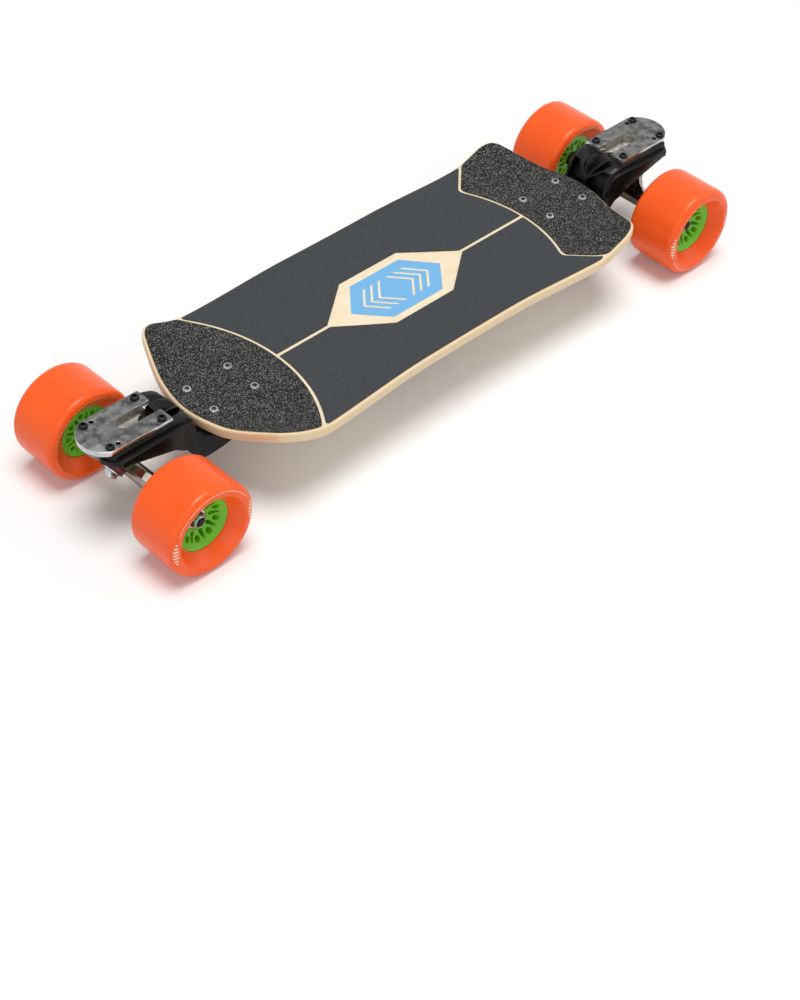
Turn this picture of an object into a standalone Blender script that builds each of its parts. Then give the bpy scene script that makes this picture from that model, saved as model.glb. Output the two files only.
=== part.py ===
"""A drop-deck cruising longboard: ply deck, raised truck brackets, two trucks and four wheels.

Metres, +Z up, +X towards the front, +Y to the left. The board stands on its wheels, and the
origin is on the ground under its middle. Both ends are built as the front one and turned round.
"""
import math

import bmesh
import bpy
from mathutils import Matrix, Vector

MM = 0.001
TOUCH = 0.3 * MM                    # room between pieces that touch
FLAT_ANGLE = math.radians(0.05)     # faces that meet flatter than this are one face

# Deck
DECK_DROP = 27.2 * MM               # top of the baseplates down to the standing surface
DECK_THICKNESS = 12.5 * MM
DECK_TIP = 295.0 * MM               # middle of the board to the point of its end
DECK_WAIST = 111.0 * MM             # half width in the middle
DECK_SHOULDER = 114.5 * MM          # half width where the sides end
SHOULDER_AT = 200.0 * MM
END_SLOPE = 0.27                    # how far the end edge falls back from its tip
END_ROUNDING = 30.0 * MM
END_BOW = 14.0 * MM                 # and how much further it has bent back at the shoulder
CORNER_CUT_END = 15.0 * MM          # how far the rounding of a corner runs along the end
CORNER_CUT_SIDE = 22.0 * MM         # and along the side
RAIL_ROUNDING = 3.0 * MM
CONCAVE_RISE = 7.2 * MM             # how far the long edges stand above the middle
CONCAVE_FULL_TO = 60.0 * MM
CONCAVE_GONE_AT = 203.0 * MM
FLARE_RISE = 27.0 * MM              # how far the corners rise over the wheels
FLARE_START_X = 196.5 * MM
FLARE_LENGTH = 90.0 * MM
FLARE_START_Y = 44.5 * MM
FLARE_POWER = 1.55                  # how the rise steepens from there to the sides
LATTICE = 24.0 * MM                 # spacing of the facets of the deck's curved faces

# Grip sheets
GRIP_THICKNESS = 0.9 * MM
GRIP_MARGIN = 3.0 * MM              # bare wood outside the grip
CROP_REACH = 20.0 * MM              # how far the outlines that crop the grip pass the deck
SEAM_GAP = 3.6 * MM
STRIPE_GAP = 4.5 * MM
REAR_SEAM_AT = 170.5 * MM           # middle of the board to the rear seam on the centre line
REAR_SEAM_RADIUS = 185.0 * MM
FRONT_SEAM_AT = 196.3 * MM
FRONT_SEAM_RADIUS = 162.0 * MM
FRONT_SEAM_CORNER = 78.4 * MM       # where the front seam turns out towards the edge
FRONT_SEAM_SLOPE = 1.05
EMBLEM_REACH = 98.0 * MM            # bare field in the middle, half its length
EMBLEM_SHOULDER = 42.0 * MM
EMBLEM_HALF_WIDTH = 44.0 * MM

# Bolt patterns
BOLT_ACROSS = 41.3 * MM
DECK_BOLT_INNER = 219.1 * MM
DECK_BOLT_SPACING = 53.8 * MM
TRUCK_BOLT_INNER = 338.3 * MM
TRUCK_BOLT_SPACING = 63.5 * MM
SHORT_PATTERN = 53.8 * MM           # the spare pair of holes in a baseplate
BOLT_RADIUS = 2.4 * MM
BOLT_HOLE = 2.8 * MM
DECK_HEAD_RADIUS = 5.4 * MM
DECK_HEAD_HEIGHT = 1.9 * MM
TRUCK_HEAD_RADIUS = 4.4 * MM
TRUCK_HEAD_HEIGHT = 3.4 * MM
SOCKET_RADIUS = 2.3 * MM
SOCKET_FLOOR = 0.3                  # share of a head's height under its socket
NUT_RADIUS = 5.0 * MM               # to the points
NUT_HEIGHT = 4.4 * MM
BOLT_END = 1.6 * MM                 # thread that stands out of a nut

# Bracket
BOSS_RADIUS = 12.0 * MM
BOSS_RECESS = 8.0 * MM              # radius of the recess round a nut of the fork
BOSS_FLOOR = 7.0 * MM               # how deep that recess is
COUNTERBORE = 8.8 * MM
COUNTERBORE_FLOOR = 15.0 * MM
FORK_ARM_INNER = 9.15 * MM          # bolt to the side of the fork's slot
FORK_SLOT_END = 262.0 * MM
FORK_NECK_DIP = 5.4 * MM            # how far a fork arm is narrower than its boss
BRACKET_HALF = 40.0 * MM
BRACKET_SHOULDER_AT = 263.0 * MM    # where the fork has flared out
BRACKET_WIDEST_AT = 275.0 * MM
BRACKET_SHOULDER_IN = 1.0 * MM
BRACKET_FOOT_END = 303.0 * MM       # outer end of the sloping underside
BRACKET_TIP_DEPTH = 13.5 * MM       # underside of the fork's tips below the deck
BRACKET_FOOT_DEPTH = 28.0 * MM
WAIST_AT = 318.0 * MM               # where the steep underside of the neck ends
WAIST_DEPTH = 5.5 * MM
SKIRT_START = 334.0 * MM            # the lower edge of the arms' side skirts
SKIRT_DROP = 16.0 * MM              # how far that edge starts below the arms' outer ends
SKIRT_END = 394.0 * MM
NECK_HALF = 31.0 * MM               # narrowest place between the foot and the arms
NECK_AT = 309.0 * MM
NECK_GAP = 2.5 * MM                 # deck's tip to the wall that rises beyond it
WALL_LEAN = 2.0 * MM                # the wall curves from upright, this far on, to level
WALL_CURVE_DROP = 2.4 * MM
SEAT_START = 319.0 * MM             # where the wall's curve meets the seat
SEAT_HALF = 29.5 * MM
SEAT_CORNER = 9.0 * MM              # rounding where the wall turns into the seat's sides
SEAT_SHORTER = 2.0 * MM             # how far the seat ends before the ledge round it
SEAT_DEPTH = 12.0 * MM              # down to the rim at the arms' outer ends
SEAT_FLOOR = 7.0 * MM               # thickness of the seat under the truck bolts
ARMS_START = 332.0 * MM             # where the sides have widened to the ledge
LEDGE_HALF = 36.0 * MM
LEDGE_DROP = 6.0 * MM               # seat to the ledge along the arms
LEDGE_LEVEL_FROM = 352.0 * MM
LEDGE_CREST_AT = 329.0 * MM         # where the ledge stands highest, near the wall
LEDGE_CREST_DROP = 4.5 * MM
LEDGE_BESIDE = 6.0 * MM             # how far the ledge's foot lies beyond the wall's
LEDGE_FOOT_RISE = 4.0 * MM
LEDGE_FLATTER = 14.0 * MM           # radius of the rounded outer end over its half width
LEDGE_BACK = 7.0 * MM               # how far the bracket's end stands back from the plate's
SKIRT = 8.5 * MM                    # thickness of the arms' side skirts
FOOT_CHAMFER = 5.0 * MM             # along the lower edges of the foot's sides
END_RIM = 1.2 * MM                  # thickness of the rim round the arms' outer ends
ARM_INNER = 15.2 * MM               # half width of the opening for the truck
OPENING_BACK = 2.0 * MM             # how far the opening starts beyond the plate's edge
RIB_HALF = 1.1 * MM
RIB_POCKET_DEPTH = 12.6 * MM
RIB_POCKET_LEAN = 0.5               # how far the pockets' backs lean away from the deck
RIB_SILL = 3.0 * MM                 # solid wall under the pockets between the ribs
RIB_LINTEL = 4.0 * MM               # and over the two outermost
RIB_PAST = 3.0 * MM                 # how far the others are cut past the seat: they are open there
RIB_INNER = 10.5 * MM               # middle to where the inner ribs would end at that height
RIB_OUTER = 25.0 * MM               # and the outer ones
RIB_FAN_MEETS = 0.40                # share of the pockets' height where the ribs meet
RIB_WALL = 26.5 * MM                # middle to the side walls of the pockets

# Truck
AXLE_AT = 363.3 * MM                # half the wheelbase
PIVOT_ANGLE = math.radians(50.0)
AXLE_BACK = 21.0 * MM               # axle to kingpin, along the pivot line
RAKE = 3.2 * MM                     # axle below the pivot line
TRUCK_HEIGHT = 62.7 * MM            # axle to the top of the baseplate
PLATE_THICKNESS = 6.0 * MM
PLATE_START = 330.0 * MM
PLATE_END = 420.5 * MM
PLATE_HALF = 27.5 * MM
PLATE_END_FLATTER = 1.5 * MM        # radius of the plate's round end over its half width
SLOT_HALF = 8.8 * MM
SLOT_END = 378.0 * MM
SLOT_DEPTH = 4.4 * MM
POCKET_START = 338.5 * MM
POCKET_DEPTH = 12.0 * MM
BLOCK_GAP = 0.5 * MM                # kingpin block to the bracket's arms
BLOCK_MARGIN = 1.0 * MM             # kingpin block round the bushing
BLOCK_START = 4.0 * MM              # plate's edge to the block
BLOCK_SLANT = 3.0 * MM
BLOCK_KNEE = 9.0 * MM               # from the kingpin's seat up to the knee of the block
BLOCK_FOOT = 2.0 * MM               # block beyond the centre of the plate's round end
SEAT_REACH = 60.0 * MM              # how far the kingpin head's clearance is cut upwards
KINGPIN_RADIUS = 4.8 * MM
KINGPIN_SEAT = 10.0 * MM            # metal under the kingpin's head
KINGPIN_HEAD_RADIUS = 8.3 * MM
KINGPIN_HEAD_HEIGHT = 6.5 * MM
KINGPIN_NUT_RADIUS = 8.1 * MM
KINGPIN_NUT_HEIGHT = 5.6 * MM
KINGPIN_END = 1.2 * MM
WASHER_RADIUS = 11.0 * MM
WASHER_THICKNESS = 1.6 * MM
RING_RADIUS = 19.5 * MM
RING_THICKNESS = 9.0 * MM
BUSHING_RECESS = 0.8 * MM           # how deep the bushings sit in the ring
RING_BORE = 8.2 * MM
BOARDSIDE_RADIUS = 13.0 * MM
BOARDSIDE_HEIGHT = 13.5 * MM
BARREL_BULGE = 1.2 * MM
BARREL_SHOULDER = 4.0 * MM          # length of the barrel's taper at each end
ROADSIDE_RADIUS = 12.8 * MM
ROADSIDE_TIP_RADIUS = 10.4 * MM
ROADSIDE_HEIGHT = 9.0 * MM
HANGER_HALF = 75.0 * MM
HANGER_TUBE = 9.6 * MM
HANGER_TUBE_END = 8.2 * MM
HANGER_TAPER_AT = 52.0 * MM
HANGER_TAPER = 6.0 * MM
HANGER_WING = 47.0 * MM             # half width of the casting where it meets the tube
WING_DEPTH = 8.0 * MM               # the casting's outline, from the wings to the nose
WING_SLANT = 4.0 * MM
ARM_START = 16.0 * MM
ARM_FLARE = 9.0 * MM
RING_FLARE = 3.0 * MM
NOSE_FLARE = 8.0 * MM
HANGER_NOSE_HALF = 7.0 * MM
NECK_ROOM = 3.0 * MM                # casting's end to the pivot cup's lip
NOSE_ROOT = 10.0 * MM
NOSE_RADIUS = 7.0 * MM
CUP_LIP = 34.0 * MM                 # kingpin axis to the pivot cup's lip, along the pivot line
CUP_DEPTH = 11.5 * MM
CUP_WALL = 1.6 * MM
HOUSING_WALL = 2.6 * MM
WINDOW_START = 18.5 * MM
WINDOW_END = 30.0 * MM
WINDOW_HALF = 6.2 * MM
CASTING_BACK = 2.0 * MM             # casting behind the axle

# Axle, bearings and wheels
AXLE_RADIUS = 4.0 * MM
AXLE_END = 1.3 * MM                 # thread that stands out of an axle nut
BEARING_RADIUS = 11.0 * MM
BEARING_WIDTH = 7.0 * MM
SPACER = 10.0 * MM
AXLE_NUT_RADIUS = 7.4 * MM
AXLE_NUT_HEIGHT = 5.6 * MM
WHEEL_RADIUS = 52.5 * MM
WHEEL_WIDTH = 65.0 * MM
WHEEL_OFFSET = 5.0 * MM             # middle of a wheel outside the middle of its bearings
WHEEL_EDGE = 7.0 * MM
CORE_RADIUS = 30.0 * MM
CORE_BAND = 31.5 * MM               # radius where the outer recess ends
CORE_OUTER_DEPTH = 13.8 * MM        # outer face of the wheel to the tyre's inner band
CORE_INNER_DEPTH = 11.0 * MM
OUTER_LIP = 40.0 * MM               # radius of the outer recess at the wheel's face
INNER_LIP = 43.0 * MM
INNER_STEP = 36.0 * MM
INNER_STEP_DEPTH = 6.0 * MM
CORE_SUNK = 1.0 * MM                # how far the core's faces lie within that band
CORE_SHOULDER = 1.5 * MM            # width of the shoulder that the bearings seat on
CORE_BOWL_AT = 21.3 * MM            # radius where the bowl of the core's outer face flattens
CORE_BOWL_DROP = 6.2 * MM
HUB_LIP = 1.0 * MM                  # core's hub beyond the outer bearing's face
CORE_HOLES = 9                      # round holes, with as many keyholes between them
ROUND_HOLE_RADIUS = 3.3 * MM
ROUND_HOLE_RING = 21.3 * MM
KEYHOLE_INNER_RING = 15.4 * MM
KEYHOLE_INNER_RADIUS = 2.5 * MM
KEYHOLE_OUTER_RING = 22.2 * MM
KEYHOLE_OUTER_RADIUS = 1.4 * MM
WHEEL_SEGMENTS = 32

# Places that follow from the sizes above
PLATE_TOP = WHEEL_RADIUS + TRUCK_HEIGHT
DECK_TOP = PLATE_TOP - DECK_DROP
DECK_BOTTOM = DECK_TOP - DECK_THICKNESS
FORK_SLOT_HALF = BOLT_ACROSS / 2 - FORK_ARM_INNER
BRACKET_TOP = DECK_BOTTOM - TOUCH
BRACKET_TIP_LOW = DECK_BOTTOM - BRACKET_TIP_DEPTH
BRACKET_FOOT_LOW = DECK_BOTTOM - BRACKET_FOOT_DEPTH
WAIST_LOW = DECK_BOTTOM - WAIST_DEPTH
DECK_BOLT_OUTER = DECK_BOLT_INNER + DECK_BOLT_SPACING
TRUCK_BOLT_OUTER = TRUCK_BOLT_INNER + TRUCK_BOLT_SPACING
PLATE_BOTTOM = PLATE_TOP - PLATE_THICKNESS
SEAT_TOP = PLATE_BOTTOM - TOUCH
SEAT_BOTTOM = SEAT_TOP - SEAT_DEPTH
SKIRT_START_LOW = SEAT_BOTTOM - SKIRT_DROP
NUT_FLOOR = SEAT_TOP - SEAT_FLOOR
LEDGE_RADIUS = LEDGE_HALF + LEDGE_FLATTER
PLATE_END_RADIUS = PLATE_HALF + PLATE_END_FLATTER
PLATE_END_CENTRE = PLATE_END - PLATE_END_RADIUS
BLOCK_HALF = ARM_INNER - BLOCK_GAP
PIVOT_DIRECTION = Vector((math.cos(PIVOT_ANGLE), 0.0, math.sin(PIVOT_ANGLE)))
KINGPIN_DIRECTION = Vector((-math.sin(PIVOT_ANGLE), 0.0, math.cos(PIVOT_ANGLE)))
AXLE_CENTRE = Vector((AXLE_AT, 0.0, WHEEL_RADIUS))
RING_CENTRE = AXLE_CENTRE + PIVOT_DIRECTION * AXLE_BACK + KINGPIN_DIRECTION * RAKE
TILT = Matrix.Translation(RING_CENTRE) @ Matrix.Rotation(-PIVOT_ANGLE, 4, "Y")
RING_FACE = RING_THICKNESS / 2
BUSHING_SEAT = RING_FACE - BUSHING_RECESS
BOARDSIDE_TOP = BUSHING_SEAT + TOUCH + BOARDSIDE_HEIGHT
BLOCK_SEAT = BOARDSIDE_TOP + TOUCH
HEAD_SEAT = BLOCK_SEAT + KINGPIN_SEAT + TOUCH
ROADSIDE_LOW = -(BUSHING_SEAT + TOUCH + ROADSIDE_HEIGHT)
WASHER_LOW = ROADSIDE_LOW - TOUCH - WASHER_THICKNESS
NUT_LOW = WASHER_LOW - KINGPIN_NUT_HEIGHT
CUP_INNER = NOSE_RADIUS + TOUCH
CUP_OUTER = CUP_INNER + CUP_WALL
CUP_END = CUP_LIP + CUP_DEPTH
HOUSING_INNER = CUP_OUTER + TOUCH
HOUSING_OUTER = HOUSING_INNER + HOUSING_WALL
INNER_BEARING = HANGER_HALF + TOUCH
OUTER_BEARING = INNER_BEARING + BEARING_WIDTH + SPACER
WHEEL_MIDDLE = INNER_BEARING + BEARING_WIDTH + SPACER / 2 + WHEEL_OFFSET
AXLE_NUT_AT = OUTER_BEARING + BEARING_WIDTH + TOUCH
AXLE_HALF = AXLE_NUT_AT + AXLE_NUT_HEIGHT + AXLE_END
SIDES = (1, -1)


# Materials
def make_material(name, colour, roughness, metallic=0.0):
    """Return a Principled material of one plain colour."""
    material = bpy.data.materials.new(name)
    material.use_nodes = True
    shader = material.node_tree.nodes["Principled BSDF"]
    shader.inputs["Base Color"].default_value = (*colour, 1.0)
    shader.inputs["Roughness"].default_value = roughness
    shader.inputs["Metallic"].default_value = metallic
    return material


def make_materials():
    """Return the board's materials by name."""
    return {
        "maple": make_material("maple_veneer", (0.86, 0.68, 0.46), 0.45),
        "coarse_grip": make_material("coarse_grip", (0.012, 0.012, 0.013), 0.85),
        "fine_grip": make_material("fine_grip", (0.045, 0.055, 0.068), 0.80),
        "nylon": make_material("black_nylon", (0.012, 0.012, 0.013), 0.42),
        "aluminium": make_material("brushed_aluminium", (0.34, 0.35, 0.36), 0.32, 1.0),
        "casting": make_material("bronze_grey_casting", (0.30, 0.27, 0.25), 0.35, 1.0),
        "steel": make_material("zinc_steel", (0.62, 0.63, 0.64), 0.25, 1.0),
        "black_steel": make_material("black_steel", (0.03, 0.03, 0.033), 0.40, 0.8),
        "bushing": make_material("red_urethane_bushing", (0.11, 0.008, 0.012), 0.35),
        "cup": make_material("black_urethane_cup", (0.015, 0.015, 0.015), 0.50),
        "tyre": make_material("orange_urethane", (1.0, 0.12, 0.022), 0.30),
        "core": make_material("green_core", (0.14, 0.53, 0.02), 0.38),
    }


# Mesh tools
def closed(bm):
    """Merge the doubles of a closed shape and point its faces outwards."""
    bmesh.ops.remove_doubles(bm, verts=bm.verts, dist=1e-7)
    bmesh.ops.recalc_face_normals(bm, faces=bm.faces)
    return bm


def prism(outline, low, high):
    """Return the solid of a flat outline between two heights."""
    bm = bmesh.new()
    face = bm.faces.new([bm.verts.new((x, y, low)) for x, y in outline])
    lifted = bmesh.ops.extrude_face_region(bm, geom=[face])
    verts = [item for item in lifted["geom"] if isinstance(item, bmesh.types.BMVert)]
    bmesh.ops.translate(bm, verts=verts, vec=(0.0, 0.0, high - low))
    return closed(bm)


def profile_across(profile, right, left):
    """Return the solid of a side view, points of x and z, between two places on Y."""
    bm = prism([(x, -z) for x, z in profile], right, left)
    bmesh.ops.rotate(bm, verts=bm.verts, matrix=Matrix.Rotation(-math.pi / 2, 3, "X"))
    return closed(bm)


def box(low, high):
    """Return a box between two corners."""
    outline = [(low[0], low[1]), (high[0], low[1]), (high[0], high[1]), (low[0], high[1])]
    return prism(outline, low[2], high[2])


def rod(radius, low, high, segments=12, x=0.0, y=0.0):
    """Return an upright prism with a round outline that has flats on its axes."""
    half_step = math.pi / segments
    outline = arc_points((x, y), radius, half_step, 2 * math.pi + half_step, segments)[:-1]
    return prism(outline, low, high)


def turned(profile, segments=24):
    """Return a solid turned about Z from points of radius and height that run round it."""
    bm = bmesh.new()
    verts = [bm.verts.new((radius, 0.0, height)) for radius, height in profile]
    edges = [bm.edges.new((a, b)) for a, b in zip(verts, verts[1:])]
    if profile[0][0] > 0.0:
        edges.append(bm.edges.new((verts[-1], verts[0])))
    bmesh.ops.spin(bm, geom=verts + edges, axis=(0.0, 0.0, 1.0), cent=(0.0, 0.0, 0.0),
                   angle=2 * math.pi, steps=segments, use_merge=True)
    return closed(bm)


def along_x(bm):
    """Turn a shape about Z into one about +X."""
    bm.transform(Matrix.Rotation(math.pi / 2, 4, "Y"))
    return bm


def along_y(bm):
    """Turn a shape about Z into one about +Y."""
    bm.transform(Matrix.Rotation(-math.pi / 2, 4, "X"))
    return bm


def tilted(bm):
    """Move a shape from the kingpin's frame into the frame of the board's end."""
    bm.transform(TILT)
    return bm


def arc_points(centre, radius, start, end, steps):
    """Return points along an arc, its two ends included."""
    return [(centre[0] + radius * math.cos(start + (end - start) * i / steps),
             centre[1] + radius * math.sin(start + (end - start) * i / steps))
            for i in range(steps + 1)]


def mirrored(half):
    """Close an outline given on the +Y side, by its mirror image."""
    return half + [(x, -y) for x, y in reversed(half) if abs(y) > 1e-9]


def place(name, bm, material, parent=None, frame=None):
    """Make a named object of a mesh, its flat stretches joined, set on its parent."""
    bmesh.ops.dissolve_limit(bm, angle_limit=FLAT_ANGLE, verts=bm.verts, edges=bm.edges)
    mesh = bpy.data.meshes.new(name)
    bm.to_mesh(mesh)
    bm.free()
    mesh.materials.append(material)
    item = bpy.data.objects.new(name, mesh)
    bpy.context.scene.collection.objects.link(item)
    item.parent = parent
    if frame is not None:
        item.matrix_local = frame
    return item


def shade_round(item, degrees=32.0):
    """Shade an object smooth, with its true edges sharp."""
    item.data.shade_smooth()
    item.data.set_sharp_from_angle(angle=math.radians(degrees))


def combine(bm, tools, operation):
    """Cut, join or cross a shape with others, one after the other."""
    body = bpy.data.objects.new("body", bpy.data.meshes.new("body"))
    bm.to_mesh(body.data)
    bm.free()
    bpy.context.scene.collection.objects.link(body)
    for tool in tools:
        other = bpy.data.objects.new("tool", bpy.data.meshes.new("tool"))
        tool.to_mesh(other.data)
        tool.free()
        bpy.context.scene.collection.objects.link(other)
        modifier = body.modifiers.new("combine", "BOOLEAN")
        modifier.operation = operation
        modifier.solver = "EXACT"
        modifier.object = other
        graph = bpy.context.evaluated_depsgraph_get()
        result = bpy.data.meshes.new_from_object(body.evaluated_get(graph))
        body.modifiers.clear()
        body.data = result
        bpy.data.objects.remove(other)
    combined = bmesh.new()
    combined.from_mesh(body.data)
    bpy.data.objects.remove(body)
    return combined


def cut(bm, *tools):
    """Return a shape with others cut out of it."""
    return combine(bm, tools, "DIFFERENCE")


def join(bm, *tools):
    """Return a shape united with others."""
    return combine(bm, tools, "UNION")


def cross(bm, *tools):
    """Return what a shape shares with others."""
    return combine(bm, tools, "INTERSECT")


def empty(name, parent=None, frame=None):
    """Make an empty that carries a sub-assembly."""
    item = bpy.data.objects.new(name, None)
    bpy.context.scene.collection.objects.link(item)
    item.parent = parent
    if frame is not None:
        item.matrix_local = frame
    return item


# Deck surface
def smooth_step(value):
    """Rise from 0 to 1 with level ends."""
    value = min(max(value, 0.0), 1.0)
    return value * value * (3.0 - 2.0 * value)


def bend(start, corner, end, steps):
    """The points between the ends of a curve that rounds a corner."""
    points = []
    for i in range(1, steps):
        t = i / steps
        shares = (1 - t) ** 2, 2 * t * (1 - t), t * t
        points.append(tuple(shares[0] * a + shares[1] * b + shares[2] * c
                            for a, b, c in zip(start, corner, end)))
    return points


def half_width(x):
    """Half width of the deck at a place along it."""
    share = min(abs(x) / SHOULDER_AT, 1.0)
    return DECK_WAIST + (DECK_SHOULDER - DECK_WAIST) * share * share


def end_reach(y):
    """How far the deck's end edge reaches at a place across it."""
    slope = END_SLOPE * (math.hypot(y, END_ROUNDING) - END_ROUNDING)
    return DECK_TIP - slope - END_BOW * (y / DECK_SHOULDER) ** 2


def deck_rise(x, y):
    """Smooth height of the deck's top above its flat middle."""
    across = abs(y) / DECK_SHOULDER
    fade = 1.0 - smooth_step((abs(x) - CONCAVE_FULL_TO) / (CONCAVE_GONE_AT - CONCAVE_FULL_TO))
    flare_x = smooth_step((abs(x) - FLARE_START_X) / FLARE_LENGTH)
    beyond = max(abs(y) - FLARE_START_Y, 0.0)
    flare_y = (beyond / (DECK_SHOULDER - FLARE_START_Y)) ** FLARE_POWER
    return CONCAVE_RISE * fade * across * across + FLARE_RISE * flare_x * flare_y


def facet_rise(x, y):
    """Height of the deck's faceted top, level on each triangle of the lattice."""
    column = math.floor(x / LATTICE)
    row = math.floor(y / LATTICE)
    u = x / LATTICE - column
    v = y / LATTICE - row

    def corner(i, j):
        return deck_rise((column + i) * LATTICE, (row + j) * LATTICE)

    if u + v <= 1.0:
        return corner(0, 0) * (1.0 - u - v) + corner(1, 0) * u + corner(0, 1) * v
    return corner(1, 1) * (u + v - 1.0) + corner(0, 1) * (1.0 - u) + corner(1, 0) * (1.0 - v)


def deck_corner():
    """Where the side of the deck would meet its end edge."""
    y = DECK_SHOULDER
    for _ in range(20):
        y = half_width(end_reach(y))
    return end_reach(y), y


def quarter_outline():
    """The deck's outline from its front tip to the middle of its left side."""
    corner_x, corner_y = deck_corner()
    end_y = corner_y - CORNER_CUT_END
    side_x = corner_x - CORNER_CUT_SIDE
    end_edge = [(end_reach(end_y * i / 6), end_y * i / 6) for i in range(7)]
    side = [(side_x * (5 - i) / 5, half_width(side_x * (5 - i) / 5)) for i in range(6)]
    return end_edge + bend(end_edge[-1], (corner_x, corner_y), side[0], 4) + side


def deck_outline():
    """The whole outline, counter-clockwise from the front tip."""
    quarter = quarter_outline()
    left = quarter + [(-x, y) for x, y in reversed(quarter[:-1])]
    return left + [(x, -y) for x, y in reversed(left[1:-1])]


def corner_moves(points):
    """For each corner of a closed outline, its outward move for one unit of offset."""
    moves = []
    for index, point in enumerate(points):
        before = Vector(points[index - 1])
        here = Vector(point)
        after = Vector(points[(index + 1) % len(points)])
        first = (here - before).normalized()
        second = (after - here).normalized()
        normal_a = Vector((first.y, -first.x))
        normal_b = Vector((second.y, -second.x))
        moves.append((normal_a + normal_b) / (1.0 + normal_a.dot(normal_b)))
    return moves


def offset(points, distance):
    """Move a counter-clockwise outline outwards, or inwards by a negative distance."""
    return [(point[0] + move.x * distance, point[1] + move.y * distance)
            for point, move in zip(points, corner_moves(points))]


def lattice_sheet(outline):
    """Fill an outline with a flat face cut along the lattice and its diagonals."""
    bm = bmesh.new()
    bm.faces.new([bm.verts.new((x, y, 0.0)) for x, y in outline])
    reach = max(max(abs(x), abs(y)) for x, y in outline)
    lines = math.ceil(reach / LATTICE)
    for normal in ((1.0, 0.0), (0.0, 1.0), (1.0, 1.0)):
        span = lines * 2 if normal == (1.0, 1.0) else lines
        for step in range(-span, span + 1):
            bmesh.ops.bisect_plane(
                bm, geom=bm.verts[:] + bm.edges[:] + bm.faces[:], dist=1e-6,
                plane_co=(step * LATTICE, 0.0, 0.0) if normal[0] else (0.0, step * LATTICE, 0.0),
                plane_no=(*normal, 0.0))
    return bm


def rim_loop(bm):
    """The vertices of a flat sheet's border, in order, with their outward moves."""
    edge = next(e for e in bm.edges if e.is_boundary)
    start = edge.verts[0]
    loop = [start]
    here = edge.other_vert(start)
    while here is not start:
        loop.append(here)
        edge = next(e for e in here.link_edges if e.is_boundary and e is not edge)
        here = edge.other_vert(here)
    area = sum(a.co.x * b.co.y - b.co.x * a.co.y for a, b in zip(loop, loop[1:] + loop[:1]))
    if area < 0.0:
        loop.reverse()
    return loop


def curved_slab(outline, top, bottom, rounding=0.0):
    """A slab that follows the deck's curve, its upright edge chamfered by the rounding."""
    bm = lattice_sheet(offset(outline, -rounding) if rounding else outline)
    sheet = list(bm.verts)
    loop = rim_loop(bm)
    moves = corner_moves([(v.co.x, v.co.y) for v in loop])
    copied = bmesh.ops.duplicate(bm, geom=bm.verts[:] + bm.edges[:] + bm.faces[:])
    twin = copied["vert_map"]
    rings = [loop]
    if rounding:
        for height in (top - rounding, bottom + rounding):
            rings.append([bm.verts.new((v.co.x + m.x * rounding, v.co.y + m.y * rounding,
                                        height + facet_rise(v.co.x, v.co.y)))
                          for v, m in zip(loop, moves)])
    rings.append([twin[v] for v in loop])
    for vert in sheet:
        rise = facet_rise(vert.co.x, vert.co.y)
        vert.co.z = top + rise
        twin[vert].co.z = bottom + rise
    for over, under in zip(rings, rings[1:]):
        for i in range(len(loop)):
            j = (i + 1) % len(loop)
            bm.faces.new((over[i], over[j], under[j], under[i]))
    bmesh.ops.recalc_face_normals(bm, faces=bm.faces)
    return bm


# Deck and grip
def deck_bolt_places():
    """The eight bolt places of the deck, with their names."""
    places = []
    for end, end_name in ((1, "front"), (-1, "rear")):
        for along, row in ((DECK_BOLT_INNER, "inner"), (DECK_BOLT_OUTER, "outer")):
            for side, side_name in ((1, "left"), (-1, "right")):
                name = f"{end_name}_{row}_{side_name}"
                places.append((name, end * along, side * BOLT_ACROSS / 2))
    return places


def build_deck(materials):
    """The ply deck with its bolt holes."""
    bm = curved_slab(deck_outline(), DECK_TOP, DECK_BOTTOM, RAIL_ROUNDING)
    holes = [rod(BOLT_HOLE, DECK_BOTTOM - MM, DECK_TOP + MM, 8, x, y)
             for _, x, y in deck_bolt_places()]
    place("deck", cut(bm, *holes), materials["maple"])


def front_seam_x(y, gap):
    """Place along the board of the front seam's edge, an arc about a point behind its apex."""
    return FRONT_SEAM_AT - FRONT_SEAM_RADIUS + math.sqrt((FRONT_SEAM_RADIUS + gap) ** 2 - y * y)


def rear_seam_x(y, gap):
    """The same for the rear seam, whose arc bows towards the front too."""
    return -REAR_SEAM_AT - REAR_SEAM_RADIUS + math.sqrt((REAR_SEAM_RADIUS + gap) ** 2 - y * y)


def front_seam(reach, gap):
    """The front seam's edge from the centre line to the left side, moved forward by a gap."""
    steps = 5
    arc = [(front_seam_x(FRONT_SEAM_CORNER * i / steps, gap),
            FRONT_SEAM_CORNER * i / steps) for i in range(steps + 1)]
    last_x, last_y = arc[-1]
    return arc + [(last_x + (reach - last_y) * FRONT_SEAM_SLOPE, reach)]


def rear_seam(reach, gap):
    """The rear seam's edge from the centre line to the left side, moved forward by a gap."""
    steps = 8
    return [(rear_seam_x(reach * i / steps, gap), reach * i / steps)
            for i in range(steps + 1)]


def panel(outline, keep):
    """The grip's whole outline, cropped to the inside of another outline."""
    full = prism(outline, -MM, MM)
    return cross(full, prism(keep, -2 * MM, 2 * MM))


def outline_of(bm):
    """The border of a flat prism's top face, counter-clockwise."""
    bm.faces.ensure_lookup_table()
    top = [face for face in bm.faces if face.normal.z > 0.5]
    bmesh.ops.dissolve_faces(bm, faces=top)
    face = max((f for f in bm.faces if f.normal.z > 0.5), key=lambda f: f.calc_area())
    points = [(v.co.x, v.co.y) for v in face.verts]
    bm.free()
    return points


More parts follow.
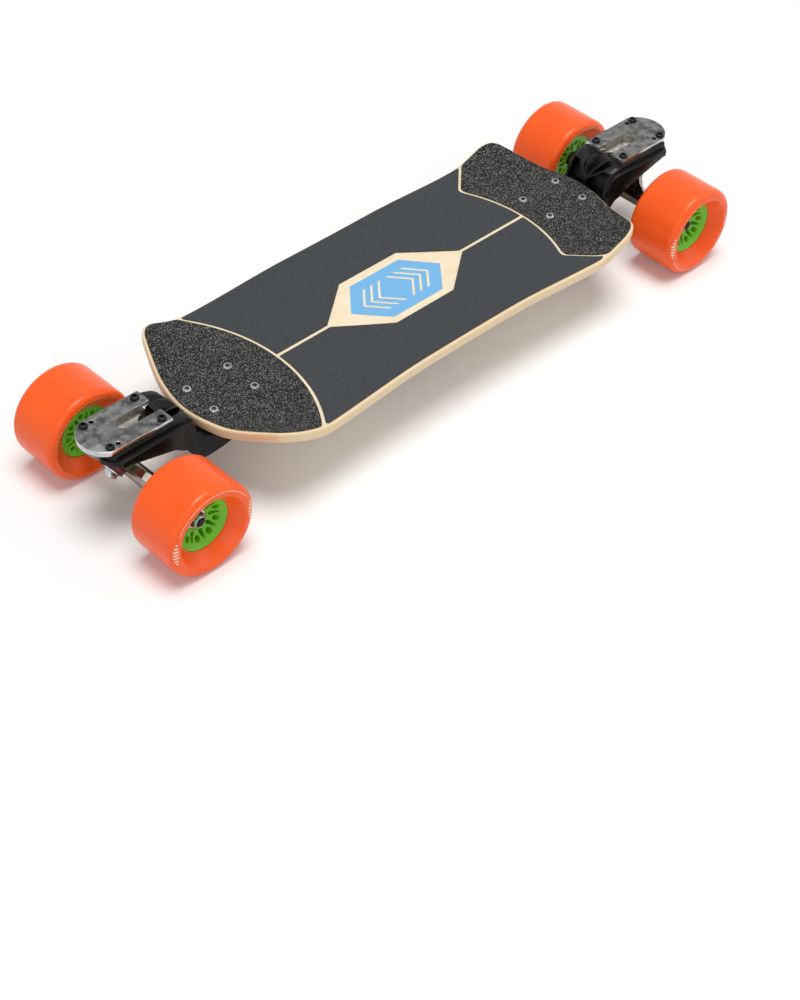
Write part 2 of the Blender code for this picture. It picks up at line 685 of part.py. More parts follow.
def build_grips(materials):
    """Two coarse sheets at the ends and two fine ones in the middle."""
    whole = offset(deck_outline(), -GRIP_MARGIN)
    reach = DECK_SHOULDER + CROP_REACH
    past = DECK_TIP + CROP_REACH
    gap = SEAM_GAP / 2
    stripe = STRIPE_GAP / 2
    front = front_seam(reach, gap)
    front_keep = [(x, -y) for x, y in reversed(front[1:])] + front
    front_keep += [(past, reach), (past, -reach)]
    rear = rear_seam(reach, -gap)
    rear_keep = rear[::-1] + [(x, -y) for x, y in rear[1:]]
    rear_keep += [(-past, -reach), (-past, reach)]
    ahead = [point for point in front_seam(reach, -gap) if point[1] > stripe]
    behind = [point for point in rear_seam(reach, gap) if point[1] > stripe]
    emblem = [(EMBLEM_REACH, stripe), (EMBLEM_SHOULDER, EMBLEM_HALF_WIDTH),
              (-EMBLEM_SHOULDER, EMBLEM_HALF_WIDTH), (-EMBLEM_REACH, stripe)]
    centre = [(rear_seam_x(stripe, gap), stripe)] + emblem[::-1]
    centre += [(front_seam_x(stripe, -gap), stripe)] + ahead + behind[::-1]
    low = DECK_TOP + TOUCH
    high = low + GRIP_THICKNESS
    holes = {end: [rod(DECK_HEAD_RADIUS + 2 * TOUCH, low - MM, high + MM, 8, x, y)
                   for _, x, y in deck_bolt_places() if x * end > 0] for end in SIDES}
    for name, keep, end in (("grip_front", front_keep, 1), ("grip_rear", rear_keep, -1)):
        sheet = curved_slab(outline_of(panel(whole, keep)), high, low)
        place(name, cut(sheet, *holes[end]), materials["coarse_grip"])
    for name, side in (("grip_left", 1), ("grip_right", -1)):
        keep = [(x, side * y) for x, y in centre][::side]
        sheet = curved_slab(outline_of(panel(whole, keep)), high, low)
        place(name, sheet, materials["fine_grip"])


# Fasteners
def bolt(head_radius, head_height, seat, grip_end):
    """A socket bolt with its nut: the head sits on one height and the nut under another."""
    nut_top = grip_end - TOUCH
    nut_low = nut_top - NUT_HEIGHT
    end = nut_low - BOLT_END
    head = rod(head_radius, seat + TOUCH, seat + TOUCH + head_height, 8)
    shank = rod(BOLT_RADIUS, end, seat + TOUCH + head_height / 3, 6)
    nut = rod(NUT_RADIUS, nut_low, nut_top, 6)
    socket = rod(SOCKET_RADIUS, seat + TOUCH + head_height * SOCKET_FLOOR,
                 seat + head_height + MM, 6)
    return cut(join(head, shank, nut), socket)


def build_deck_bolts(materials):
    """The bolts that hold the brackets under the deck."""
    for name, x, y in deck_bolt_places():
        floor = fork_floor() if "inner" in name else counterbore_floor()
        item = place(f"deck_bolt_{name}", bolt(DECK_HEAD_RADIUS, DECK_HEAD_HEIGHT, DECK_TOP, floor),
                     materials["steel"])
        item.location = (x, y, 0.0)


def build_truck_bolts(end_name, base, sign, materials):
    """The bolts that hold a truck on its bracket."""
    for along, row in ((TRUCK_BOLT_INNER, "inner"), (TRUCK_BOLT_OUTER, "outer")):
        for side in SIDES:
            side_name = "left" if side * sign > 0 else "right"
            shape = bolt(TRUCK_HEAD_RADIUS, TRUCK_HEAD_HEIGHT, PLATE_TOP, NUT_FLOOR)
            item = place(f"truck_bolt_{end_name}_{row}_{side_name}", shape,
                         materials["black_steel"], base)
            item.location = (along, side * BOLT_ACROSS / 2, 0.0)


# Bracket
def underside(x):
    """Height of the bracket's sloping underside."""
    tip = DECK_BOLT_INNER - BOSS_RADIUS
    share = (x - tip) / (BRACKET_FOOT_END - tip)
    return BRACKET_TIP_LOW + (BRACKET_FOOT_LOW - BRACKET_TIP_LOW) * share


def fork_floor():
    """Height of the floor that an inner deck nut bears on."""
    return underside(DECK_BOLT_INNER) + BOSS_FLOOR


def counterbore_floor():
    """Height of the floor that an outer deck nut bears on."""
    return underside(DECK_BOLT_OUTER) + COUNTERBORE_FLOOR


def bracket_plan():
    """Half the bracket's outline seen from above, from the end of the fork's slot outwards."""
    boss_y = BOLT_ACROSS / 2
    tuck = math.asin(FORK_ARM_INNER / BOSS_RADIUS)
    half = arc_points((FORK_SLOT_END - FORK_SLOT_HALF, 0.0), FORK_SLOT_HALF, 0.0, math.pi / 2, 5)
    half += arc_points((DECK_BOLT_INNER, boss_y), BOSS_RADIUS, -tuck, -3 * math.pi / 2, 10)
    half += [(DECK_BOLT_INNER + BOSS_RADIUS, boss_y + BOSS_RADIUS - FORK_NECK_DIP),
             (BRACKET_SHOULDER_AT, BRACKET_HALF - BRACKET_SHOULDER_IN)]
    half += sweep((BRACKET_WIDEST_AT, BRACKET_HALF), (NECK_AT, NECK_HALF), 4)
    half += sweep((NECK_AT, NECK_HALF), (ARMS_START, LEDGE_HALF), 3)
    return half + arms_end(LEDGE_HALF, LEDGE_RADIUS)


def sweep(start, end, steps):
    """The points of a curve from a start up to its end, level at both."""
    return [(start[0] + (end[0] - start[0]) * i / steps,
             start[1] + (end[1] - start[1]) * smooth_step(i / steps)) for i in range(steps)]


def arms_end(side_y, radius):
    """Half the rounded outer end of the arms, from a side to the middle."""
    centre = (PLATE_END - LEDGE_BACK - LEDGE_RADIUS, 0.0)
    return arc_points(centre, radius, math.asin(side_y / radius), 0.0, 7)


def wall_foot():
    """Where the wall beyond the deck's tip begins."""
    return DECK_TIP + NECK_GAP, BRACKET_TOP


def wall_line():
    """Side view of that wall, from its foot up and over to the seat."""
    foot = wall_foot()
    head = (SEAT_START, SEAT_TOP)
    return [foot] + bend(foot, (foot[0] + WALL_LEAN, SEAT_TOP - WALL_CURVE_DROP), head, 4) + [head]


def ledge_line():
    """Side view of a ledge, from beside the wall's foot up and out along an arm."""
    foot = (wall_foot()[0] + LEDGE_BESIDE, BRACKET_TOP + LEDGE_FOOT_RISE)
    crest = (LEDGE_CREST_AT, SEAT_TOP - LEDGE_CREST_DROP)
    line = [foot] + bend(foot, (foot[0] + WALL_LEAN, crest[1]), crest, 4) + [crest]
    return line + [(LEDGE_LEVEL_FROM, SEAT_TOP - LEDGE_DROP), (PLATE_END, SEAT_TOP - LEDGE_DROP)]


def bracket_side():
    """Side view of the bracket: foot under the deck, rising neck and level seat."""
    tip = DECK_BOLT_INNER - BOSS_RADIUS - MM
    return [(tip, underside(tip)), (BRACKET_FOOT_END, BRACKET_FOOT_LOW),
            (WAIST_AT, WAIST_LOW), (SKIRT_START, SKIRT_START_LOW),
            (SKIRT_END, SEAT_BOTTOM), (PLATE_END, SEAT_BOTTOM), (PLATE_END, SEAT_TOP),
            *reversed(wall_line()), (tip, BRACKET_TOP)]


def seat_surround(side):
    """What is cut away over one side's ledge: all round the seat with its rounded corner."""
    outer = BRACKET_HALF + MM
    inner = ARM_INNER - MM
    end = [(x - SEAT_SHORTER, y) for x, y in arms_end(SEAT_HALF, LEDGE_RADIUS) if y > ARM_INNER]
    line = wall_line()
    bm = bmesh.new()
    rings = []
    for x, z in [(line[0][0], line[0][1] - MM), *line[1:], (SEAT_START, PLATE_TOP)]:
        corner = (x + SEAT_CORNER, SEAT_HALF - SEAT_CORNER)
        plan = [(x - 2 * MM, outer), (x - 2 * MM, corner[1])]
        plan += arc_points(corner, SEAT_CORNER, math.pi, math.pi / 2, 5) + end
        plan += [(PLATE_END, inner), (PLATE_END, outer)]
        rings.append([bm.verts.new((px, side * py, z)) for px, py in plan])
    bm.faces.new(rings[0])
    bm.faces.new(rings[-1])
    for under, over in zip(rings, rings[1:]):
        for i in range(len(under)):
            j = (i + 1) % len(under)
            bm.faces.new((under[i], under[j], over[j], over[i]))
    foot, *rest = ledge_line()
    start = wall_foot()[0] - MM
    profile = [(start, foot[1]), foot, *rest, (PLATE_END, PLATE_TOP), (start, PLATE_TOP)]
    low_y, high_y = sorted((side * (inner - MM), side * (outer + MM)))
    return cross(closed(bm), profile_across(profile, low_y, high_y))


def foot_chamfer(side):
    """A block whose slanting face cuts the lower edge of one side of the foot."""
    tip = DECK_BOLT_INNER - BOSS_RADIUS
    edge = BRACKET_HALF - FOOT_CHAMFER
    bm = bmesh.new()
    ends = []
    for x in (tip, BRACKET_FOOT_END + FOOT_CHAMFER):
        low = underside(x)
        section = [(edge - FOOT_CHAMFER, low - FOOT_CHAMFER),
                   (BRACKET_HALF + MM, low - FOOT_CHAMFER),
                   (BRACKET_HALF + MM, low + FOOT_CHAMFER + MM)]
        ends.append([bm.verts.new((x, side * y, z)) for y, z in section])
        bm.faces.new(ends[-1])
    for i in range(3):
        j = (i + 1) % 3
        bm.faces.new((ends[0][i], ends[0][j], ends[1][j], ends[1][i]))
    return closed(bm)


def rib_pocket(outline):
    """A pocket in the wall that faces the deck, from its outline of y and z."""
    foot_x, foot_z = wall_foot()
    bm = bmesh.new()
    ends = []
    for depth in (-2 * RIB_POCKET_DEPTH, RIB_POCKET_DEPTH):
        ends.append([bm.verts.new((foot_x + (z - foot_z) * RIB_POCKET_LEAN + depth, y, z))
                     for y, z in outline])
        bm.faces.new(ends[-1])
    for i in range(len(outline)):
        j = (i + 1) % len(outline)
        bm.faces.new((ends[0][i], ends[0][j], ends[1][j], ends[1][i]))
    return closed(bm)


def rib_pockets():
    """The pockets between the side walls and a fan of four ribs, open upwards inside the fan."""
    low = BRACKET_TOP + RIB_SILL
    high = SEAT_TOP + RIB_PAST
    lintel = SEAT_TOP - RIB_LINTEL
    meet = low + (high - low) * RIB_FAN_MEETS
    height = high - meet

    def edge(reach):
        return RIB_HALF * math.hypot(1.0, reach / height)

    def between(first, last):
        rise = (edge(first) + edge(last)) * height / (last - first)
        return [(first + edge(first), high), (last - edge(last), high),
                (first * rise / height + edge(first), meet + rise)]

    def under(z):
        return edge(RIB_OUTER) + (z - meet) * RIB_OUTER / height, z

    foot = meet - (edge(RIB_OUTER) - RIB_HALF) * height / RIB_OUTER
    outer = [under(foot), under(lintel), (RIB_WALL, lintel), (RIB_WALL, low), (RIB_HALF, low)]
    pockets = [rib_pocket(between(-RIB_INNER, RIB_INNER))]
    for side in SIDES:
        for outline in (between(RIB_INNER, RIB_OUTER), outer):
            pockets.append(rib_pocket([(side * y, z) for y, z in outline]))
    return pockets


def build_bracket(end_name, base, materials):
    """The moulded bracket that lifts a truck beyond the deck's end."""
    low = BRACKET_FOOT_LOW - MM
    high = PLATE_TOP
    past = PLATE_END + MM
    start = PLATE_START + OPENING_BACK
    under = LEDGE_HALF - SKIRT
    body = cross(profile_across(bracket_side(), -BRACKET_HALF - MM, BRACKET_HALF + MM),
                 prism(mirrored(bracket_plan()), low, high))
    channel = [(start, 0.0), (start, under)] + arms_end(under, LEDGE_RADIUS - END_RIM)
    tools = [box((start, -ARM_INNER, low), (past, ARM_INNER, high)),
             prism(mirrored(channel), low, NUT_FLOOR)]
    for side in SIDES:
        y = side * BOLT_ACROSS / 2
        tools += [
            rod(BOLT_HOLE, low, high, 8, DECK_BOLT_INNER, y),
            rod(BOLT_HOLE, low, high, 8, DECK_BOLT_OUTER, y),
            rod(BOSS_RECESS, low, fork_floor(), 12, DECK_BOLT_INNER, y),
            rod(COUNTERBORE, low, counterbore_floor(), 12, DECK_BOLT_OUTER, y),
            rod(BOLT_HOLE, low, high, 8, TRUCK_BOLT_INNER, y),
            rod(BOLT_HOLE, low, high, 8, TRUCK_BOLT_OUTER, y),
            seat_surround(side),
            foot_chamfer(side),
        ]
    place(f"bracket_{end_name}", cut(body, *tools, *rib_pockets()), materials["nylon"], base)


# Trucks
def plate_outline():
    """Outline of the baseplate: square at the deck's side, round at the far side."""
    turn = math.asin(PLATE_HALF / PLATE_END_RADIUS)
    half = [(PLATE_START, 0.0), (PLATE_START, PLATE_HALF)]
    half += arc_points((PLATE_END_CENTRE, 0.0), PLATE_END_RADIUS, turn, 0.0, 8)
    return mirrored(half)


def slot_outline(start):
    """Outline of a slot in the baseplate, round at its far end."""
    half = [(start, 0.0), (start, SLOT_HALF)]
    half += arc_points((SLOT_END - SLOT_HALF, 0.0), SLOT_HALF, math.pi / 2, 0.0, 5)
    return mirrored(half)


def kingpin_point(along, up):
    """Side view place of a point given along the pivot line and up the kingpin."""
    point = RING_CENTRE + PIVOT_DIRECTION * along + KINGPIN_DIRECTION * up
    return point.x, point.z


def build_baseplate(end_name, base, materials):
    """The cast baseplate: mounting plate, kingpin block and pivot housing."""
    reach = BOARDSIDE_RADIUS + BLOCK_MARGIN
    seat_start = kingpin_point(-reach, BLOCK_SEAT)
    seat_end = kingpin_point(reach, BLOCK_SEAT)
    head_start = kingpin_point(-reach, HEAD_SEAT)
    lap = PLATE_BOTTOM + PLATE_THICKNESS / 2
    edge = PLATE_START + BLOCK_START
    block = profile_across([(edge, lap), (edge + BLOCK_SLANT, head_start[1] + BLOCK_KNEE),
                            head_start, seat_start, seat_end,
                            (PLATE_END_CENTRE + BLOCK_FOOT, lap)], -BLOCK_HALF, BLOCK_HALF)
    housing = tilted(along_x(rod(HOUSING_OUTER, CUP_LIP + MM, CUP_END + HOUSING_WALL, 20)))
    body = join(prism(plate_outline(), PLATE_BOTTOM, PLATE_TOP), block, housing)
    above = PLATE_TOP + PLATE_THICKNESS
    tools = [tilted(along_x(rod(HOUSING_INNER, CUP_LIP - 2 * CUP_DEPTH, CUP_END + TOUCH, 16))),
             box((PLATE_START, -PLATE_HALF, PLATE_TOP), (PLATE_END + MM, PLATE_HALF, above)),
             tilted(rod(KINGPIN_RADIUS + 2 * TOUCH, 0.0, HEAD_SEAT + MM, 12)),
             tilted(rod(KINGPIN_HEAD_RADIUS + MM, HEAD_SEAT - TOUCH, HEAD_SEAT + SEAT_REACH, 16)),
             prism(slot_outline(PLATE_START - MM), PLATE_TOP - SLOT_DEPTH, PLATE_TOP + MM),
             prism(slot_outline(POCKET_START), PLATE_TOP - POCKET_DEPTH, PLATE_TOP + MM)]
    for side in SIDES:
        for along in (TRUCK_BOLT_INNER, TRUCK_BOLT_OUTER, TRUCK_BOLT_INNER + SHORT_PATTERN):
            tools.append(rod(BOLT_HOLE, PLATE_BOTTOM - MM, PLATE_TOP + MM, 8, along,
                             side * BOLT_ACROSS / 2))
    place(f"baseplate_{end_name}", cut(body, *tools), materials["aluminium"], base)


def build_kingpin(end_name, frame, materials):
    """Kingpin, its nut with the cup washer, both bushings and the pivot cup."""
    low = NUT_LOW - KINGPIN_END
    shank = rod(KINGPIN_RADIUS, low, HEAD_SEAT + KINGPIN_HEAD_HEIGHT / 2, 12)
    head = rod(KINGPIN_HEAD_RADIUS, HEAD_SEAT, HEAD_SEAT + KINGPIN_HEAD_HEIGHT, 6)
    place(f"kingpin_{end_name}", join(shank, head), materials["steel"], frame)
    bore = KINGPIN_RADIUS + TOUCH
    nut = rod(KINGPIN_NUT_RADIUS, NUT_LOW, WASHER_LOW + MM / 2, 6)
    washer = rod(WASHER_RADIUS, WASHER_LOW, WASHER_LOW + WASHER_THICKNESS, 16)
    hole = rod(bore, low, BLOCK_SEAT, 12)
    place(f"kingpin_nut_{end_name}", cut(join(nut, washer), hole), materials["steel"], frame)
    narrow = BOARDSIDE_RADIUS - BARREL_BULGE
    base = BUSHING_SEAT + TOUCH
    barrel = [(bore, base), (narrow, base), (BOARDSIDE_RADIUS, base + BARREL_SHOULDER),
              (BOARDSIDE_RADIUS, BOARDSIDE_TOP - BARREL_SHOULDER), (narrow, BOARDSIDE_TOP),
              (bore, BOARDSIDE_TOP)]
    place(f"bushing_boardside_{end_name}", turned(barrel, 14), materials["bushing"], frame)
    cone = [(bore, ROADSIDE_LOW), (ROADSIDE_TIP_RADIUS, ROADSIDE_LOW),
            (ROADSIDE_RADIUS, -base - MM), (ROADSIDE_RADIUS, -base), (bore, -base)]
    place(f"bushing_roadside_{end_name}", turned(cone, 14), materials["bushing"], frame)
    floor = CUP_END - CUP_WALL
    cup = [(0.0, CUP_END), (CUP_OUTER, CUP_END), (CUP_OUTER, CUP_LIP), (CUP_INNER, CUP_LIP),
           (CUP_INNER, floor - NOSE_RADIUS / 2), (NOSE_RADIUS / 2, floor), (0.0, floor)]
    place(f"pivot_cup_{end_name}", along_x(turned(cup, 14)), materials["cup"], frame)


def hanger_plan():
    """Outline of the hanger's casting in the plane of the pivot line and the axle."""
    back = -AXLE_BACK - CASTING_BACK
    neck = CUP_LIP - NECK_ROOM
    half = [(back, 0.0), (back, HANGER_WING), (back + WING_DEPTH, HANGER_WING - WING_SLANT),
            (back + ARM_START, RING_RADIUS + ARM_FLARE), (0.0, RING_RADIUS + RING_FLARE),
            (RING_RADIUS, HANGER_NOSE_HALF + NOSE_FLARE), (neck, HANGER_NOSE_HALF), (neck, 0.0)]
    return mirrored(half)


def to_axle(bm):
    """Move a shape about the Y axis onto the axle, in the kingpin's frame."""
    bm.transform(Matrix.Translation((-AXLE_BACK, 0.0, -RAKE)))
    return bm


def build_hanger(end_name, frame, materials):
    """The hanger: axle tube, bushing ring, window and pivot nose; with it the axle."""
    taper_end = HANGER_TAPER_AT + HANGER_TAPER
    profile = [(0.0, -HANGER_HALF), (HANGER_TUBE_END, -HANGER_HALF),
               (HANGER_TUBE_END, -taper_end), (HANGER_TUBE, -HANGER_TAPER_AT),
               (HANGER_TUBE, HANGER_TAPER_AT), (HANGER_TUBE_END, taper_end),
               (HANGER_TUBE_END, HANGER_HALF), (0.0, HANGER_HALF)]
    tube = to_axle(along_y(turned(profile, 16)))
    plate = prism(hanger_plan(), -RING_FACE, RING_FACE)
    tip = CUP_END - CUP_WALL - TOUCH
    root = CUP_LIP - NOSE_ROOT
    nose = along_x(turned([(0.0, root), (NOSE_RADIUS, root),
                           (NOSE_RADIUS, tip - NOSE_RADIUS / 2 - TOUCH),
                           (NOSE_RADIUS / 2, tip), (0.0, tip)], 12))
    window = [(WINDOW_END, 0.0), (WINDOW_END - MM, WINDOW_HALF / 2),
              (WINDOW_START + MM, WINDOW_HALF), (WINDOW_START, 0.0)]
    past = HANGER_HALF + MM
    room = RING_RADIUS
    tools = [rod(RING_BORE, -room, room, 12),
             rod(BOARDSIDE_RADIUS + 2 * TOUCH, BUSHING_SEAT, room, 16),
             rod(ROADSIDE_RADIUS + 2 * TOUCH, -room, -BUSHING_SEAT, 16),
             prism(mirrored(window), -room, room),
             to_axle(along_y(rod(AXLE_RADIUS + TOUCH, -past, past, 12)))]
    place(f"hanger_{end_name}", cut(join(tube, plate, nose), *tools), materials["casting"],
          frame)
    axle = to_axle(along_y(rod(AXLE_RADIUS, -AXLE_HALF, AXLE_HALF, 12)))
    place(f"axle_{end_name}", axle, materials["steel"], frame)


# Wheels
def core_holes(past):
    """The round holes and the keyholes of a core, as tools that reach past both its faces."""
    tools = []
    step = 2 * math.pi / CORE_HOLES
    key = arc_points((KEYHOLE_INNER_RING, 0.0), KEYHOLE_INNER_RADIUS, math.pi / 2,
                     3 * math.pi / 2, 4)
    key += arc_points((KEYHOLE_OUTER_RING, 0.0), KEYHOLE_OUTER_RADIUS, -math.pi / 2,
                      math.pi / 2, 2)
    for i in range(CORE_HOLES):
        tools.append(rod(ROUND_HOLE_RADIUS, -past, past, 8, ROUND_HOLE_RING * math.cos(i * step),
                         ROUND_HOLE_RING * math.sin(i * step)))
        tool = prism(key, -past, past)
        tool.transform(Matrix.Rotation((i + 0.5) * step, 4, "Z"))
        tools.append(tool)
    return tools


def build_wheel(name, frame, materials):
    """Tyre, core, two bearings and the axle nut, about Z with outward up."""
    half = WHEEL_WIDTH / 2
    outer_floor = half - CORE_OUTER_DEPTH
    inner_floor = -half + CORE_INNER_DEPTH
    seat = CORE_RADIUS + TOUCH
    edge = WHEEL_EDGE
    cut_in = edge * (1.0 - math.sqrt(0.5))
    tyre = [(seat, outer_floor), (CORE_BAND, outer_floor), (OUTER_LIP, half),
            (WHEEL_RADIUS - edge, half), (WHEEL_RADIUS - cut_in, half - cut_in),
            (WHEEL_RADIUS, half - edge), (WHEEL_RADIUS, edge - half),
            (WHEEL_RADIUS - cut_in, cut_in - half), (WHEEL_RADIUS - edge, -half),
            (INNER_LIP, -half), (INNER_STEP, INNER_STEP_DEPTH - half), (seat, inner_floor)]
    item = place(f"tyre_{name}", turned(tyre, WHEEL_SEGMENTS), materials["tyre"], frame)
    shade_round(item)
    inner_seat = INNER_BEARING + BEARING_WIDTH + TOUCH - WHEEL_MIDDLE
    outer_seat = OUTER_BEARING - TOUCH - WHEEL_MIDDLE
    bearing_seat = BEARING_RADIUS + TOUCH
    shoulder = BEARING_RADIUS - CORE_SHOULDER
    core_top = outer_floor - CORE_SUNK
    core_low = inner_floor + CORE_SUNK
    hub_top = OUTER_BEARING + BEARING_WIDTH + HUB_LIP - WHEEL_MIDDLE
    core = [(bearing_seat, outer_seat), (bearing_seat, hub_top),
            (CORE_BOWL_AT, core_top - CORE_BOWL_DROP), (CORE_RADIUS, core_top),
            (CORE_RADIUS, core_low), (bearing_seat, core_low), (bearing_seat, inner_seat),
            (shoulder, inner_seat), (shoulder, outer_seat)]
    place(f"core_{name}", cut(turned(core, 24), *core_holes(half)), materials["core"], frame)
    for place_name, start in (("inner", INNER_BEARING), ("outer", OUTER_BEARING)):
        low = start - WHEEL_MIDDLE
        high = low + BEARING_WIDTH
        bore = AXLE_RADIUS + TOUCH
        ring = [(bore, low), (BEARING_RADIUS, low), (BEARING_RADIUS, high), (bore, high)]
        place(f"bearing_{name}_{place_name}", turned(ring, 12), materials["steel"], frame)


def build_axle_nut(name, frame, materials):
    """The nut on an axle's end."""
    low = AXLE_NUT_AT - WHEEL_MIDDLE
    nut = rod(AXLE_NUT_RADIUS, low, low + AXLE_NUT_HEIGHT, 6)
    hole = rod(AXLE_RADIUS + TOUCH, low - MM, low + AXLE_NUT_HEIGHT + MM, 12)
    place(f"axle_nut_{name}", cut(nut, hole), materials["steel"], frame)


def build_end(end_name, sign, materials):
    """Everything at one end of the board, on an empty that turns it round for the rear."""
    base = empty(f"{end_name}_end", frame=Matrix.Rotation(0.0 if sign > 0 else math.pi, 4, "Z"))
    build_bracket(end_name, base, materials)
    build_baseplate(end_name, base, materials)
    build_truck_bolts(end_name, base, sign, materials)
    fixed = empty(f"{end_name}_kingpin_frame", base, TILT)
    build_kingpin(end_name, fixed, materials)
    steering = empty(f"{end_name}_steering_axis", base, TILT)
    build_hanger(end_name, steering, materials)
    for side in SIDES:
        name = f"{end_name}_{'left' if side * sign > 0 else 'right'}"
        upright = Matrix.Translation(AXLE_CENTRE + Vector((0.0, side * WHEEL_MIDDLE, 0.0)))
        turn = Matrix.Rotation(-side * math.pi / 2, 4, "X")
        frame = TILT.inverted() @ upright @ turn
        hub = empty(f"{name}_wheel_axis", steering, frame)
        build_wheel(name, hub, materials)
        build_axle_nut(name, hub, materials)


def main():
    """Clear the scene and build the board."""
    for item in list(bpy.data.objects):
        bpy.data.objects.remove(item)
    materials = make_materials()
    build_deck(materials)
    build_grips(materials)
    build_deck_bolts(materials)
    build_end("front", 1, materials)
    build_end("rear", -1, materials)


main()
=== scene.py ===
"""Looks of a drop-deck longboard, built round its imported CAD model.

Metres, +Z up, +X towards the front, +Y to the left, the ground at height 0. Both ends are built
as the front one, and the rear one is turned half round. All sizes are those of the CAD model.
"""

import logging
import math
import random
from dataclasses import dataclass
from enum import Enum
from typing import Callable, Iterable, Sequence

import bmesh
import bpy
from mathutils import Matrix, Vector


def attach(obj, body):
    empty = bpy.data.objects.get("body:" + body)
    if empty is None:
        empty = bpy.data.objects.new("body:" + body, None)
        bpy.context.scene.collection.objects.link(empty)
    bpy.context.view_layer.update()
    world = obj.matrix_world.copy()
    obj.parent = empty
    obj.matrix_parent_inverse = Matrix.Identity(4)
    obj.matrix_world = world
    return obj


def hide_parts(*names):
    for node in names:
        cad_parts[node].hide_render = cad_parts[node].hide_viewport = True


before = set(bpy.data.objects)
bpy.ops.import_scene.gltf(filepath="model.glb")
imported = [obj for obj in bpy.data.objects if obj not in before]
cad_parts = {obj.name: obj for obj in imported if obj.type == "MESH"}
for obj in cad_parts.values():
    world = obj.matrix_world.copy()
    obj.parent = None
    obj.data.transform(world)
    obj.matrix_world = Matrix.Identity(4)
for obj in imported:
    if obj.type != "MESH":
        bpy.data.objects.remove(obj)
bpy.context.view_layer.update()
LOG = logging.getLogger("longboard")
MM = 0.001
# Vertices nearer than this are doubles, and on sheets and prints those nearer than the next
DOUBLE = 1e-6
THIN_DOUBLE = 1e-8
# A vertex nearer than this to a cutting plane lies on it
ON_PLANE = 1e-7
# Directions across the planes of a square lattice
AXES = (Vector((1.0, 0.0, 0.0)), Vector((0.0, 1.0, 0.0)))
Point = tuple[float, float]
Shape = bmesh.types.BMesh
Face = bmesh.types.BMFace
Tree = bpy.types.NodeTree
Node = bpy.types.Node
Socket = bpy.types.NodeSocket


class End(Enum):
    """An end of the board, with its turn about the upright axis."""

    FRONT = ("front", 0.0)
    REAR = ("rear", math.pi)

    @property
    def label(self) -> str:
        """The end's name in the CAD nodes."""
        return self.value[0]

    @property
    def turn(self) -> Matrix:
        """The matrix that carries a piece built for the front to this end."""
        return Matrix.Rotation(self.value[1], 4, "Z")

    def side_name(self, side: int) -> str:
        """Name the board's side that a piece built at +Y or -Y comes to lie on."""
        return "left" if (side > 0) == (self is End.FRONT) else "right"


class Meeting(Enum):
    """What other solids do to a shape, by the Boolean modifier's names."""

    CUT = "DIFFERENCE"
    JOIN = "UNION"


# Mesh tools
def crosses(face: Face, normal: Vector, place: float) -> bool:
    """Say whether a plane at a place along its normal passes through a face."""
    reaches = [vert.co.dot(normal) - place for vert in face.verts]
    return min(reaches) < -ON_PLANE and max(reaches) > ON_PLANE


def sliced(bm: Shape, normal: Vector, place: float,
           chosen: Callable[[Face], bool] | None = None) -> None:
    """Cut a shape's faces along a plane.

    Args:
        bm: The shape.
        normal: Direction across the plane.
        place: How far along that direction the plane lies.
        chosen: Test that picks the faces to cut, None for all.
    """
    geom = bm.verts[:] + bm.edges[:] + bm.faces[:]
    if chosen:
        faces = [face for face in bm.faces if chosen(face) and crosses(face, normal, place)]
        edges = dict.fromkeys(edge for face in faces for edge in face.edges)
        verts = dict.fromkeys(vert for face in faces for vert in face.verts)
        geom = [*verts, *edges, *faces]
    bmesh.ops.bisect_plane(bm, geom=geom, dist=ON_PLANE, plane_no=normal,
                           plane_co=normal * place)


def raised(bm: Shape, faces: Sequence[Face], height: float) -> list[bmesh.types.BMVert]:
    """Extrude faces straight up.

    Args:
        bm: Their shape.
        faces: The faces.
        height: How far up they go.

    Returns:
        The new vertices.
    """
    lifted = bmesh.ops.extrude_face_region(bm, geom=faces)
    verts = [item for item in lifted["geom"] if isinstance(item, bmesh.types.BMVert)]
    bmesh.ops.translate(bm, verts=verts, vec=(0.0, 0.0, height))
    return verts


def spun(profile: Sequence[Point], segments: int = 48) -> Shape:
    """Turn a profile of radius and height about Z into a closed solid.

    Args:
        profile: Points round the section. It closes on the axis, or back to its first point.
        segments: Steps round the axis.

    Returns:
        The solid, its normals outwards.
    """
    bm = bmesh.new()
    verts = [bm.verts.new((radius, 0.0, height)) for radius, height in profile]
    edges = [bm.edges.new(pair) for pair in zip(verts, verts[1:])]
    if profile[0][0] > 0.0:
        edges.append(bm.edges.new((verts[-1], verts[0])))
    bmesh.ops.spin(bm, geom=verts + edges, axis=(0, 0, 1), cent=(0, 0, 0),
                   angle=2 * math.pi, steps=segments, use_merge=True)
    return cleaned(bm)


def cleaned(bm: Shape, distance: float = DOUBLE) -> Shape:
    """Merge a shape's doubles and point its normals outwards.

    Args:
        bm: The shape.
        distance: How far apart doubles may lie.

    Returns:
        The same shape.
    """
    bmesh.ops.remove_doubles(bm, verts=bm.verts, dist=distance)
    bmesh.ops.recalc_face_normals(bm, faces=bm.faces)
    return bm


def plate(outline: Sequence[Point], low: float, high: float) -> Shape:
    """Extrude a flat outline between two heights.

    Args:
        outline: Points of x and y, in order.
        low: Height of the underside.
        high: Height of the top.

    Returns:
        The solid.
    """
    bm = bmesh.new()
    face = bm.faces.new([bm.verts.new((x, y, low)) for x, y in outline])
    raised(bm, [face], high - low)
    return cleaned(bm)


